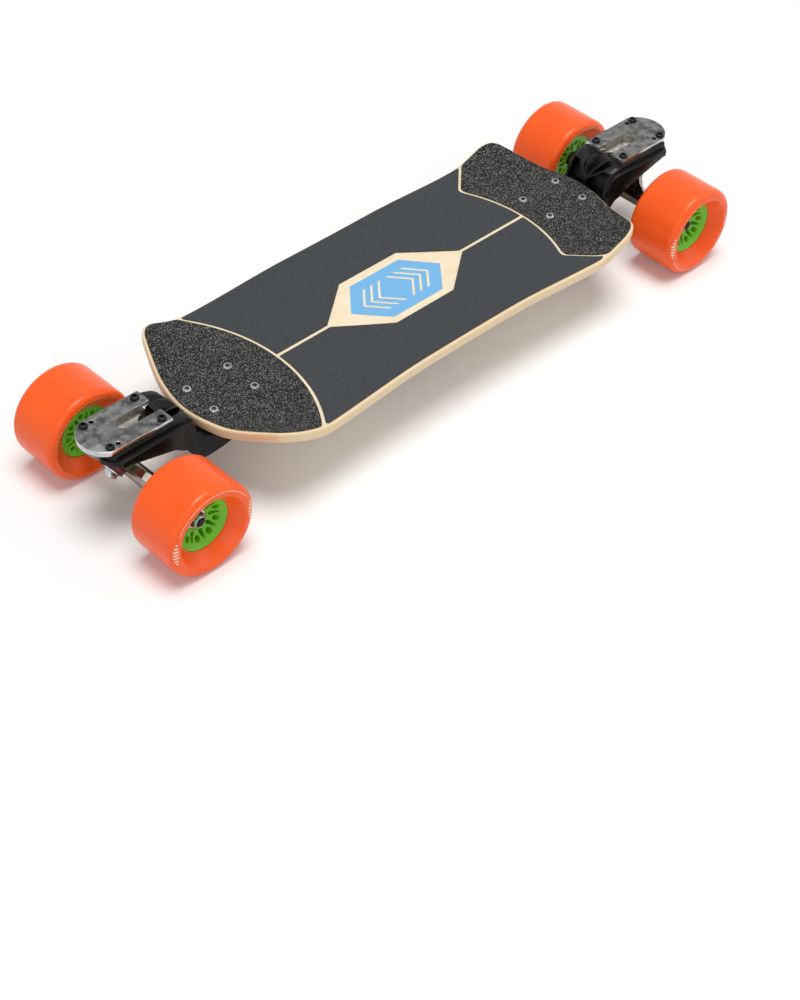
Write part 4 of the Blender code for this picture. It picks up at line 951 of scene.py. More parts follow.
@dataclass
class GripTape:
    """Four abrasive sheets with bare seams between them, and a printed field in the middle."""

    deck: DeckShape
    thickness: float = 0.9 * MM
    margin: float = 3.0 * MM
    seam: float = 3.6 * MM
    stripe: float = 4.5 * MM
    rear_seam_at: float = 170.5 * MM
    rear_radius: float = 185.0 * MM
    front_seam_at: float = 196.3 * MM
    front_radius: float = 162.0 * MM
    front_corner: float = 78.4 * MM
    front_slope: float = 1.05
    corner: float = 5.0 * MM
    corner_steps: int = 5
    corner_angle: float = 35.0
    field_reach: float = 98.0 * MM
    field_shoulder: float = 42.0 * MM
    field_half: float = 44.0 * MM
    coarse_step: float = 1.5 * MM
    fine_step: float = 8.0 * MM
    seam_step: float = 4.0 * MM
    lift: float = 0.3 * MM
    grain: float = 0.16 * MM
    badge_reach: float = 66.0 * MM
    badge_half: float = 34.0 * MM
    badge_point: float = 30.0 * MM
    badge_lift: float = 0.05 * MM
    badge_thickness: float = 0.12 * MM
    chevrons: int = 3
    chevron_in: float = 18.0 * MM
    chevron_pitch: float = 11.0 * MM
    chevron_width: float = 3.2 * MM
    chevron_share: float = 0.62
    chevron_lift: float = 0.2 * MM
    chevron_thickness: float = 0.08 * MM

    @staticmethod
    def bow(y: float, apex: float, radius: float, gap: float) -> float:
        """Place along the board of an arched seam's edge."""
        return apex - radius + math.sqrt(max((radius + gap) ** 2 - y * y, 0.0))

    def rear_edge(self, y: float, gap: float) -> float:
        """Place of the rear seam's edge, moved forward by a gap."""
        return self.bow(y, -self.rear_seam_at, self.rear_radius, gap)

    def front_edge(self, y: float, gap: float) -> float:
        """Place of the front seam's edge, moved forward by a gap."""
        inner = min(abs(y), self.front_corner)
        return (self.bow(inner, self.front_seam_at, self.front_radius, gap)
                + (abs(y) - inner) * self.front_slope)

    def eased(self, points: Sequence[Point]) -> list[Point]:
        """Round an outline's corners at the board's sides.

        Args:
            points: The closed outline.

        Returns:
            The outline with each sharp corner out there replaced by a short curve.
        """
        places = [Vector(point) for point in points]
        count = len(places)
        sharp = []
        for i, here in enumerate(places):
            before, after = here - places[i - 1], places[(i + 1) % count] - here
            if before.length and after.length and abs(here.y) > self.front_corner:
                if before.angle(after) > math.radians(self.corner_angle):
                    sharp.append(here)
        kept = []
        for i, here in enumerate(places):
            corner = next((c for c in sharp if (here - c).length < self.corner), None)
            if corner is None:
                kept.append(tuple(here))
            elif here == corner:
                sides = []
                for step in (-1, 1):
                    j = i
                    while (places[j] - corner).length < self.corner:
                        j = (j + step) % count
                    sides.append(corner + (places[j] - corner).normalized() * self.corner)
                for k in range(self.corner_steps + 1):
                    t = k / self.corner_steps
                    spot = sides[0] * (1 - t) ** 2 + corner * 2 * t * (1 - t) + sides[1] * t * t
                    kept.append(tuple(spot))
        return kept

    def between(self, edge: Callable[[float, float], float], gap: float, start: float,
                end: float) -> list[Point]:
        """List a seam's points from one place across the board to another, both left out.

        Args:
            edge: The seam's edge, from the place across and the gap.
            gap: How far forward it is moved.
            start: The first place across.
            end: The last one.

        Returns:
            The points between them.
        """
        steps = max(2, round(abs(end - start) / self.seam_step))
        across = [start + (end - start) * i / steps for i in range(1, steps)]
        return [(edge(y, gap), y) for y in across]

    def coarse_outline(self, end: End) -> list[Point]:
        """Outline the coarse sheet of one end.

        Args:
            end: The end.

        Returns:
            The closed outline.
        """
        edge, sign = (self.front_edge, 1) if end is End.FRONT else (self.rear_edge, -1)
        gap = sign * self.seam / 2
        run = kept_run(self.deck.outline(self.margin), lambda x, y: sign * (x - edge(y, gap)))
        return run + self.between(edge, gap, run[-1][1], run[0][1])

    def fine_outline(self, side: int) -> list[Point]:
        """Outline the fine sheet of one side.

        Args:
            side: 1 for the left side, -1 for the right one.

        Returns:
            The closed outline.
        """
        half, inner = self.seam / 2, self.stripe / 2
        run = kept_run(self.deck.outline(self.margin),
                       lambda x, y: min(self.front_edge(y, -half) - x,
                                        x - self.rear_edge(y, half), y))
        rear = self.between(self.rear_edge, half, run[-1][1], inner)
        front = self.between(self.front_edge, -half, inner, run[0][1])
        middle = [(self.rear_edge(inner, half), inner), (-self.field_reach, inner),
                  (-self.field_shoulder, self.field_half), (self.field_shoulder, self.field_half),
                  (self.field_reach, inner), (self.front_edge(inner, -half), inner)]
        points = run + rear + middle + front
        return points if side > 0 else [(x, -y) for x, y in reversed(points)]

    def lay(self, outline: Sequence[Point], spacing: float, low: float, thickness: float,
            grain: float = 0.0) -> Shape:
        """Lay a sheet on the deck.

        Args:
            outline: Its outline.
            spacing: Spacing of its faces.
            low: Height of its underside over the flat deck.
            thickness: Its thickness.
            grain: How far single grains stand out or in.

        Returns:
            The closed sheet.
        """
        bm = sheet(outline, spacing)
        rng = random.Random(7)
        for vert in bm.verts:
            vert.co.z = rng.uniform(-grain, grain) if grain and not vert.is_boundary else 0.0
        lower = set(bm.verts) - set(raised(bm, bm.faces[:], thickness))
        for vert in lower:
            vert.co.z = 0.0
        for vert in bm.verts:
            vert.co.z += self.deck.top + low + self.deck.rise(vert.co.x, vert.co.y)
        return cleaned(bm, THIN_DOUBLE)

    def build(self) -> None:
        """Build the four sheets and the badge."""
        for end in End:
            bm = self.lay(self.eased(self.coarse_outline(end)), self.coarse_step, self.lift,
                          self.thickness, self.grain)
            finished(f"grit_{end.label}", bm, "board", "coarse_grip", [COARSE_GRIT],
                     [f"grip_{end.label}"], sharp=180.0)
        for side, label in ((1, "left"), (-1, "right")):
            bm = self.lay(self.eased(self.fine_outline(side)), self.fine_step, self.lift,
                          self.thickness)
            finished(f"grit_{label}", bm, "board", "fine_grip", [FINE_GRIT], [f"grip_{label}"])
        self.build_badge()

    def build_badge(self) -> None:
        """Print a plain blue six-sided field with three open chevrons at each end."""
        reach, half, point = self.badge_reach, self.badge_half, self.badge_point
        hexagon = [(reach, 0.0), (reach - point, half), (point - reach, half), (-reach, 0.0),
                   (point - reach, -half), (reach - point, -half)]
        bm = self.lay(hexagon, self.fine_step, self.badge_lift, self.badge_thickness)
        finished("badge_field", bm, "board", "maple", [INK_BLUE])
        bars = [self.chevron(sign, reach - self.chevron_in - self.chevron_pitch * index)
                for sign in (1, -1) for index in range(self.chevrons)]
        finished("badge_chevrons", merged(bars), "board", "maple", [MAPLE])

    def chevron(self, sign: int, reach: float) -> Shape:
        """Print a chevron that points away from the middle.

        Args:
            sign: 1 for the front half, -1 for the rear one.
            reach: How far from the middle its tip lies.

        Returns:
            The chevron.
        """
        tip, wide = sign * reach, sign * self.chevron_width
        arm = self.badge_half * self.chevron_share
        back = sign * arm * self.badge_point / self.badge_half
        outline = [(tip, 0.0), (tip - back, arm), (tip - back - wide, arm), (tip - wide, 0.0),
                   (tip - back - wide, -arm), (tip - back, -arm)]
        return self.lay(outline if sign > 0 else outline[::-1], self.fine_step,
                        self.chevron_lift, self.chevron_thickness)


# The rail's vertices, each with its outward direction and its place before the deck is bent
Ring = dict[bmesh.types.BMVert, tuple[Vector, Vector]]


@dataclass
class Deck:
    """The ply deck: smooth curved faces, a rounded rail and pressed ridges underneath.

    The printed mosaic reaches four half tiles from the middle. Its box is given in tiles.
    """

    shape: DeckShape
    rounding: float = 3.0 * MM
    round_steps: int = 4
    top_step: float = 8.0 * MM
    low_step: float = 14.0 * MM
    tile: float = 50.0 * MM
    grooves_per_tile: int = 6
    groove_half: float = 0.8 * MM
    groove_depth: float = 0.45 * MM
    groove_slack: float = 1e-3
    facing: tuple[float, ...] = (0.0, 120.0, 240.0)
    mosaic: int = 4
    mosaic_box: Point = (2.6, 1.3)
    inks: tuple[str, ...] = ("#1E93A8", "#2C5FA8", "#5C3B90", "#EF8A3C", "#D8559B", "#4FAE7B",
                             "#8FD0DE", "#1F3F73")
    border_span: float = 2.0 * MM
    cut_offset: float = 0.1 * MM

    @property
    def row(self) -> float:
        """Distance between the rows of the tiles' lattice."""
        return self.tile * math.sqrt(3.0) / 2.0

    @staticmethod
    def aside(angle: float) -> Vector:
        """Direction across lines that lie at an angle in degrees to the board's length."""
        return Vector((-math.sin(math.radians(angle)), math.cos(math.radians(angle)), 0.0))

    def tile_of(self, x: float, y: float) -> int:
        """Say which way the ridges run at a place, as on a drawn wall of cubes.

        Args:
            x: Place along the board.
            y: Place across it.

        Returns:
            The number of the way, 0, 1 or 2.
        """
        best, sector = math.inf, 0
        middle = round(y / self.row)
        for j in range(middle - 2, middle + 3):
            across = round(x / self.tile - j / 2)
            for i in range(across - 2, across + 3):
                if (i - j) % 3:
                    continue
                dx, dy = x - (i + j / 2) * self.tile, y - j * self.row
                if dx * dx + dy * dy < best:
                    best = dx * dx + dy * dy
                    sector = int((math.degrees(math.atan2(dy, dx)) % 360.0) // 120.0)
        return sector

    def press_ridges(self, bm: Shape) -> None:
        """Cut the tiles into the flat underside and press their grooves.

        Args:
            bm: The underside.
        """
        count = math.ceil((self.shape.tip + self.tile) / self.row)
        for angle in self.facing:
            for step in range(-count, count + 1):
                sliced(bm, self.aside(angle), step * self.row)
        layer = bm.faces.layers.int.new("tile")
        for face in bm.faces:
            middle = face.calc_center_median()
            face[layer] = self.tile_of(middle.x, middle.y)
        for way, angle in enumerate(self.facing):
            self.press_grooves(bm, layer, way, self.aside(angle))

    def press_grooves(self, bm: Shape, layer: bmesh.types.BMLayerItem, way: int,
                      normal: Vector) -> None:
        """Cut the grooves of the tiles that face one way, and press them.

        Args:
            bm: The underside.
            layer: The layer that holds the way of each face.
            way: The number of the way.
            normal: Direction across its grooves.
        """
        pitch = self.row / self.grooves_per_tile
        reaches = [vert.co.dot(normal) for face in bm.faces if face[layer] == way
                   for vert in face.verts]
        for step in range(math.floor(min(reaches) / pitch), math.ceil(max(reaches) / pitch)):
            for place in (-self.groove_half, 0.0, self.groove_half):
                sliced(bm, normal, (step + 0.5) * pitch + place, lambda face: face[layer] == way)
        for vert in bm.verts:
            offset = (vert.co.dot(normal) / pitch) % 1.0
            if (abs(offset - 0.5) < self.groove_slack
                    and any(face[layer] == way for face in vert.link_faces)):
                vert.co.z = self.groove_depth

    def print_colours(self, bm: Shape) -> None:
        """Colour a six-sided mosaic of triangles on the underside, and leave the rest bare.

        Args:
            bm: The underside.
        """
        layer = bm.loops.layers.float_color.new("print")
        small, row = self.tile / 2, self.row / 2
        reach = (self.mosaic - self.groove_slack) * small
        for face in bm.faces:
            x, y, _ = face.calc_center_median()
            j = math.floor(y / row)
            u = x / small - y / (2.0 * row)
            i = math.floor(u)
            upper = (u - i) + (y / row - j) > 1.0
            colour = (0.0, 0.0, 0.0, 0.0)
            if abs(y) < self.mosaic / 2 * row and abs(x) + abs(y) / math.sqrt(3.0) < reach:
                pick = (i * 5 + j * 3 + (4 if upper else 0)) % len(self.inks)
                colour = linear(self.inks[pick])
            for loop in face.loops:
                loop[layer] = colour

    def cut_mosaic(self, bm: Shape) -> None:
        """Cut the triangles of the mosaic into the middle of the underside.

        Args:
            bm: The underside.
        """
        wide, deep = (share * self.tile for share in self.mosaic_box)

        def inside(face: Face) -> bool:
            """Say whether a face lies in the mosaic's box."""
            middle = face.calc_center_median()
            return abs(middle.x) < wide and abs(middle.y) < deep

        for angle in self.facing:
            for step in range(-self.mosaic - 1, self.mosaic + 2):
                sliced(bm, self.aside(angle), step * self.row / 2, inside)

    def lattice(self, bm: Shape, spacing: float, offset: float = 0.0,
                chosen: Callable[[Face], bool] | None = None) -> None:
        """Cut faces along a square lattice, so that they can follow the deck's bends.

        Args:
            bm: The deck.
            spacing: Distance between the cuts.
            offset: How far the lattice is moved from the middle.
            chosen: Test that picks the faces to cut, None for all.
        """
        count = math.ceil(self.shape.tip / spacing)
        for normal in AXES:
            for step in range(-count, count + 1):
                sliced(bm, normal, step * spacing + offset, chosen)

    def ring(self, bm: Shape, loop: Ring, reach: float, height: float,
             ply: bmesh.types.BMLayerItem) -> Ring:
        """Grow one more ring of the rail from the last one.

        Args:
            bm: The deck.
            loop: The last ring.
            reach: How far outside the first ring the new one lies.
            height: Its height over the underside.
            ply: The layer that holds the share of the rail's height.

        Returns:
            The new ring.
        """
        edges = [edge for edge in bm.edges
                 if edge.verts[0] in loop and edge.verts[1] in loop and edge.is_boundary]
        grown = bmesh.ops.extrude_edge_only(bm, edges=edges)["geom"]
        new = {}
        for vert in (item for item in grown if isinstance(item, bmesh.types.BMVert)):
            base = next(edge.other_vert(vert) for edge in vert.link_edges
                        if edge.other_vert(vert) in loop)
            direction, first = loop[base]
            vert.co = (first.x + direction.x * reach, first.y + direction.y * reach, height)
            vert[ply] = height / self.shape.thickness
            new[vert] = (direction, first)
        return new

    def rail(self) -> list[Point]:
        """List the rail's rings, from the underside up.

        Returns:
            The reach and the height of each.
        """
        radius, thick, steps = self.rounding, self.shape.thickness, self.round_steps
        turns = [i * math.pi / 2 / steps for i in range(1, steps + 1)]
        rings = [(radius * math.sin(turn), radius * (1 - math.cos(turn))) for turn in turns]
        rings += [(reach, thick - height) for reach, height in reversed(rings)]
        return rings + [(0.0, thick)]

    def build(self) -> None:
        """Build the deck in one piece, from its underside up."""
        bm = bmesh.new()
        layer = bm.faces.layers.int.new("top")
        ply = bm.verts.layers.float.new("ply")
        outline = self.shape.outline(self.rounding)
        bm.faces.new([bm.verts.new((x, y, 0.0)) for x, y in outline])
        self.press_ridges(bm)
        self.cut_mosaic(bm)
        self.lattice(bm, self.low_step, self.cut_offset)
        self.print_colours(bm)
        under = set(bm.faces)
        loop = self.border(bm)
        for reach, height in self.rail():
            loop = self.ring(bm, loop, reach, height, ply)
        for face in bm.faces:
            if face not in under:
                face.material_index = 1
        edges = [edge for edge in bm.edges if edge.is_boundary]
        for face in bmesh.ops.edgeloop_fill(bm, edges=edges, mat_nr=2)["faces"]:
            face[layer] = 1
        self.lattice(bm, self.top_step, chosen=lambda face: bool(face[layer]))
        low = self.shape.top - self.shape.thickness
        for vert in bm.verts:
            vert.co.z += low + self.shape.rise(vert.co.x, vert.co.y)
        bmesh.ops.recalc_face_normals(bm, faces=bm.faces)
        finished("ply_deck", bm, "board", "maple", [PRESSED_MAPLE, PLY_EDGE, MAPLE], ["deck"],
                 sharp=60.0)

    def border(self, bm: Shape) -> Ring:
        """Find the outward direction at each vertex of the underside's border.

        Args:
            bm: The underside.

        Returns:
            The border as the rail's first ring.
        """
        edge = next(e for e in bm.edges if e.is_boundary)
        start = edge.verts[0]
        order = [start]
        here = edge.other_vert(start)
        while here is not start:
            order.append(here)
            edge = next(e for e in here.link_edges if e.is_boundary and e is not edge)
            here = edge.other_vert(here)
        pairs = zip(order, order[1:] + order[:1])
        if sum(a.co.x * b.co.y - b.co.x * a.co.y for a, b in pairs) < 0.0:
            order.reverse()
        loop = {}
        count = len(order)
        for index, vert in enumerate(order):
            ahead, behind = index + 1, index - 1
            while (order[ahead % count].co - vert.co).xy.length < self.border_span:
                ahead += 1
            while (order[behind % count].co - vert.co).xy.length < self.border_span:
                behind -= 1
            along = (order[ahead % count].co - order[behind % count].co).xy.normalized()
            loop[vert] = (Vector((along.y, -along.x)), vert.co.copy())
        return loop


# Wheels
@dataclass
class Wheel:
    """One wheel: a poured tyre on a moulded core with two bearings, and its axle nut.

    It is built about Z with outward up, and its middle plane at height 0.
    """

    end: End
    side: int
    middle: float = 92.3 * MM
    axle_at: Point = (363.3 * MM, 52.5 * MM)
    radius: float = 52.48 * MM
    width: float = 64.9 * MM
    edge: float = 7.5 * MM
    core_radius: float = 30.0 * MM
    outer_depth: float = 13.8 * MM
    inner_depth: float = 11.0 * MM
    outer_lip: float = 40.0 * MM
    inner_lip: float = 43.0 * MM
    inner_step: float = 36.0 * MM
    inner_step_depth: float = 6.0 * MM
    bearing_radius: float = 11.0 * MM
    bearing_width: float = 7.0 * MM
    bearings: tuple[float, float] = (-17.0 * MM, 0.0)
    nut_low: float = 7.3 * MM
    nut_height: float = 5.6 * MM
    fit: float = 0.1 * MM
    band: float = 1.3 * MM
    crown: float = 9.0 * MM
    outer_round: float = 1.5 * MM
    inner_round: float = 1.3 * MM
    core_inset: float = 1.0 * MM
    hub_high: float = 8.0 * MM
    bearing_stop: float = 9.8 * MM
    holes: int = 9
    hole_at: float = 21.3 * MM
    hole_radius: float = 3.2 * MM
    key_rounds: tuple[Point, Point] = ((15.5 * MM, 2.4 * MM), (22.3 * MM, 1.5 * MM))
    hole_rims: Point = (12.9 * MM, 25.2 * MM)
    rim_angle: float = 40.0
    rim_rounding: float = 0.45 * MM
    bar_reach: tuple[Point, ...] = ((44.0 * MM, 49.8 * MM), (44.0 * MM, 49.8 * MM),
                                    (45.4 * MM, 49.0 * MM), (46.4 * MM, 48.0 * MM))
    bar_pitch: float = 5.0
    bar_width: float = 2.4
    line_reach: Point = (46.3 * MM, 46.7 * MM)
    line_angle: float = 128.0
    dash_reach: Point = (45.6 * MM, 46.5 * MM)
    dash_pitch: float = 6.0
    dash_width: float = 2.6
    ink: float = 0.03 * MM
    segments: int = 128

    @property
    def name(self) -> str:
        """End and side, as in the CAD nodes."""
        return f"{self.end.label}_{self.end.side_name(self.side)}"

    @property
    def body(self) -> str:
        """The CAD body that turns on the axle."""
        return f"wheel_{self.name}"

    @property
    def place(self) -> Matrix:
        """The matrix from the wheel's own frame to the board's."""
        x, z = self.axle_at
        return (self.end.turn @ shift(x, self.side * self.middle, z)
                @ Matrix.Rotation(-self.side * math.pi / 2, 4, "X"))

    def tyre_profile(self) -> list[Point]:
        """List the tyre's section, from the core's outer rim round the tread to the inner rim.

        Returns:
            Points of radius and height.
        """
        half, edge, r = self.width / 2, self.edge, self.radius
        seat, band = self.core_radius + self.fit, self.core_radius + self.band
        top, low = half - self.outer_depth, self.inner_depth - half
        points = [(seat, top - 0.2 * MM), (band, top), (band + 1.0 * MM, top + 1.0 * MM)]
        points += arc((self.outer_lip + 1.6 * MM, half - self.outer_round), self.outer_round,
                      150, 90, 4)
        points += arc((r - edge, half - edge), edge, 88, 0, 12)
        points += [(r, self.crown), (r, -self.crown)]
        points += arc((r - edge, edge - half), edge, 0, -88, 12)
        points += arc((self.inner_lip + 1.4 * MM, self.inner_round - half), self.inner_round,
                      -90, -160, 4)
        ledge, step = self.inner_step, self.inner_step_depth - half
        points += [(ledge + 2.0 * MM, step - 0.6 * MM), (ledge + 0.9 * MM, step),
                   (ledge, step + 0.9 * MM), (ledge - 1.2 * MM, step + 1.6 * MM)]
        return points + [(band + 0.8 * MM, low - 0.7 * MM), (seat, low + 0.2 * MM)]

    def keyhole(self, tall: float) -> Shape:
        """Make the cutter of a keyhole, wider towards the hub.

        Args:
            tall: How far it reaches up and down.

        Returns:
            The cutter.
        """
        bm = bmesh.new()
        for place, radius in self.key_rounds:
            bmesh.ops.create_circle(bm, segments=16, radius=radius,
                                    matrix=shift(place, 0.0, -tall))
        hull = bmesh.ops.convex_hull(bm, input=bm.verts)
        bmesh.ops.delete(bm, geom=list({*hull["geom_interior"], *hull["geom_unused"]}),
                         context="VERTS")
        bmesh.ops.dissolve_limit(bm, angle_limit=0.01, verts=bm.verts, edges=bm.edges)
        face = max(bm.faces, key=lambda f: f.calc_area())
        spare = [other for other in bm.faces if other is not face]
        bmesh.ops.delete(bm, geom=spare, context="FACES")
        raised(bm, [face], 2 * tall)
        return cleaned(bm)

    def core_holes(self, tall: float) -> list[Shape]:
        """Make the cutters of the round holes and the keyholes between them.

        Args:
            tall: How far they reach up and down.

        Returns:
            The cutters.
        """
        tools = []
        between = Matrix.Rotation(math.pi / self.holes, 4, "Z")
        for i in range(self.holes):
            turn = Matrix.Rotation(2 * math.pi * i / self.holes, 4, "Z")
            tools.append(moved(rod(self.hole_radius, -tall, tall, 20), turn @ shift(self.hole_at)))
            tools.append(moved(self.keyhole(tall), turn @ between))
        return tools

    def core(self) -> Shape:
        """Build the core: a dished outer face and a flat inner one, pierced by its holes.

        Returns:
            The core.
        """
        half, rim, hub = self.width / 2, self.core_radius, self.hub_high
        top = half - self.outer_depth - self.core_inset
        low = self.inner_depth + self.core_inset - half
        seat = self.bearing_radius + self.fit
        shoulder = self.bearing_radius - 1.5 * MM
        profile = [(seat, -0.2 * MM), (seat, hub - 0.5 * MM), (seat + 0.5 * MM, hub),
                   (seat + 1.6 * MM, hub), (17.0 * MM, hub + 1.2 * MM),
                   (self.hole_at, top - 6.2 * MM), (25.5 * MM, top - 3.2 * MM),
                   (rim - 1.0 * MM, top - 0.3 * MM), (rim - 0.3 * MM, top), (rim, top - 0.4 * MM),
                   (rim, low + 0.4 * MM), (rim - 0.4 * MM, low), (seat + 0.5 * MM, low),
                   (seat, low + 0.5 * MM), (seat, -self.bearing_stop),
                   (shoulder, -self.bearing_stop), (shoulder, -0.2 * MM)]
        bm = combined(spun(profile, 72), self.core_holes(half), Meeting.CUT)
        bmesh.ops.remove_doubles(bm, verts=bm.verts, dist=DOUBLE)
        edges = [edge for edge in bm.edges if self.is_hole_rim(edge)]
        bmesh.ops.bevel(bm, geom=edges, offset=self.rim_rounding, offset_type="OFFSET",
                        segments=2, profile=0.5, affect="EDGES", clamp_overlap=True, material=-1)
        return bm

    def is_hole_rim(self, edge: bmesh.types.BMEdge) -> bool:
        """Say whether an edge is the rim of one of the core's holes.

        Args:
            edge: The edge.

        Returns:
            Whether it is sharp and lies where the holes are.
        """
        if not edge.is_manifold or edge.calc_face_angle(0.0) < math.radians(self.rim_angle):
            return False
        inner, outer = self.hole_rims
        return all(inner < vert.co.xy.length < outer for vert in edge.verts)

    def bearing(self, low: float) -> Shape:
        """Build a sealed bearing: outer race, seal and inner race.

        Args:
            low: Height of its lower face.

        Returns:
            The bearing.
        """
        high, r, dip = low + self.bearing_width, self.bearing_radius, 0.35 * MM
        outer = [(r - 1.9 * MM, low), (r - 0.4 * MM, low), (r, low + 0.4 * MM),
                 (r, high - 0.4 * MM), (r - 0.4 * MM, high), (r - 1.9 * MM, high)]
        inner = [(4.05 * MM, low + 0.3 * MM), (4.35 * MM, low), (5.7 * MM, low),
                 (5.7 * MM, high), (4.35 * MM, high), (4.05 * MM, high - 0.3 * MM)]
        seal = [(5.9 * MM, low + dip), (r - 2.1 * MM, low + dip), (r - 2.1 * MM, high - dip),
                (5.9 * MM, high - dip)]
        return merged([spun(outer, 48), painted(spun(seal, 48)), spun(inner, 40)])

    def nut(self) -> Shape:
        """Build the lock nut with its collar and the dark ring in it, which is painted shade.

        Returns:
            The nut.
        """
        low, high = self.nut_low, self.nut_low + self.nut_height
        hexagon = rounded(rod(7.3 * MM, low, high - 1.2 * MM, 6), 0.35 * MM, 2)
        collar = spun([(4.1 * MM, high - 1.3 * MM), (6.2 * MM, high - 1.3 * MM),
                       (6.2 * MM, high - 0.5 * MM), (5.7 * MM, high), (4.5 * MM, high),
                       (4.1 * MM, high - 0.3 * MM)], 40)
        # The dark ring is painted shade in the middle of the nut's face
        ring = spun([(4.2 * MM, high - 0.25 * MM), (5.5 * MM, high - 0.25 * MM),
                     (5.5 * MM, high + 0.02 * MM), (4.2 * MM, high + 0.02 * MM)], 32)
        return merged([hexagon, collar, painted(ring)])

    def mark(self, reach: tuple[float, float], middle: float, wide: float, steps: int = 3,
             face: int = 1) -> Shape:
        """Print one mark that follows the tyre's lip and its round edge.

        Args:
            reach: Radii between which it lies.
            middle: Angle of its middle in degrees.
            wide: Its width along the lip in degrees.
            steps: How many steps its width is made in.
            face: 1 for the outer face of the wheel, -1 for the inner one.

        Returns:
            The mark, a few hundredths of a millimetre proud.
        """
        flat, bend = self.width / 2, self.radius - self.edge
        over, under = [], []
        for i in range(5):
            r = reach[0] + (reach[1] - reach[0]) * i / 4
            lean = math.asin(min(max(r - bend, 0.0) / self.edge, 1.0))
            rise = flat - self.edge + self.edge * math.cos(lean)
            for row, out in ((over, self.ink), (under, -2.0 * self.ink)):
                row.append((r + out * math.sin(lean), 0.0, face * (rise + out * math.cos(lean))))
        bm = bmesh.new()
        section = bm.faces.new([bm.verts.new(spot) for spot in over + under[::-1]])
        turn = Matrix.Rotation(math.radians(middle - wide / 2), 4, "Z")
        bmesh.ops.transform(bm, matrix=turn, verts=bm.verts)
        geom = [section, *section.edges, *section.verts]
        bmesh.ops.spin(bm, geom=geom, axis=(0, 0, 1), cent=(0, 0, 0), steps=steps,
                       angle=math.radians(wide), use_duplicate=False)
        return cleaned(bm, THIN_DOUBLE)

    def prints(self) -> Shape:
        """Print two groups of bars and a thin arc on the tyre's outer lip.

        Returns:
            The prints.
        """
        marks = [self.mark(self.line_reach, -90.0, self.line_angle, 60)]
        last = len(self.bar_reach) - 1
        for centre in (0.0, 180.0):
            for step in range(-last, last + 1):
                marks.append(self.mark(self.bar_reach[abs(step)], centre + self.bar_pitch * step,
                                       self.bar_width))
        return merged(marks)

    def dashes(self) -> Shape:
        """Build the ring of dashes on the tyre's inner lip, in six groups of nine."""
        return merged([self.mark(self.dash_reach, self.dash_pitch * i, self.dash_width, 1, -1)
                       for i in range(60) if i % 10])

    def build(self) -> None:
        """Build and dress the wheel's pieces."""
        place, name = self.place, self.name
        finished(f"tyre_cast_{name}", moved(spun(self.tyre_profile(), self.segments), place),
                 self.body, "tyre", [TYRE_ORANGE], [f"tyre_{name}"])
        finished(f"core_moulding_{name}", moved(self.core(), place), self.body, "core",
                 [CORE_GREEN], [f"core_{name}"])
        for label, low in zip(("inner", "outer"), self.bearings):
            finished(f"sealed_bearing_{name}_{label}", moved(self.bearing(low), place), self.body,
                     "steel", [RACE_STEEL, SEAL],
                     [f"bearing_{name}_{label}"])
        finished(f"tyre_marks_{name}", moved(self.prints(), place), self.body, "tyre",
                 [INK_PALE])
        finished(f"tyre_dashes_{name}", moved(self.dashes(), place), self.body, "tyre",
                 [INK_FAINT])
        steering = f"{self.end.label}_steering"
        finished(f"lock_nut_{name}", moved(self.nut(), place), steering, "steel",
                 [ZINC, BLACK_OXIDE_AND_SHADE], [f"axle_nut_{name}"])


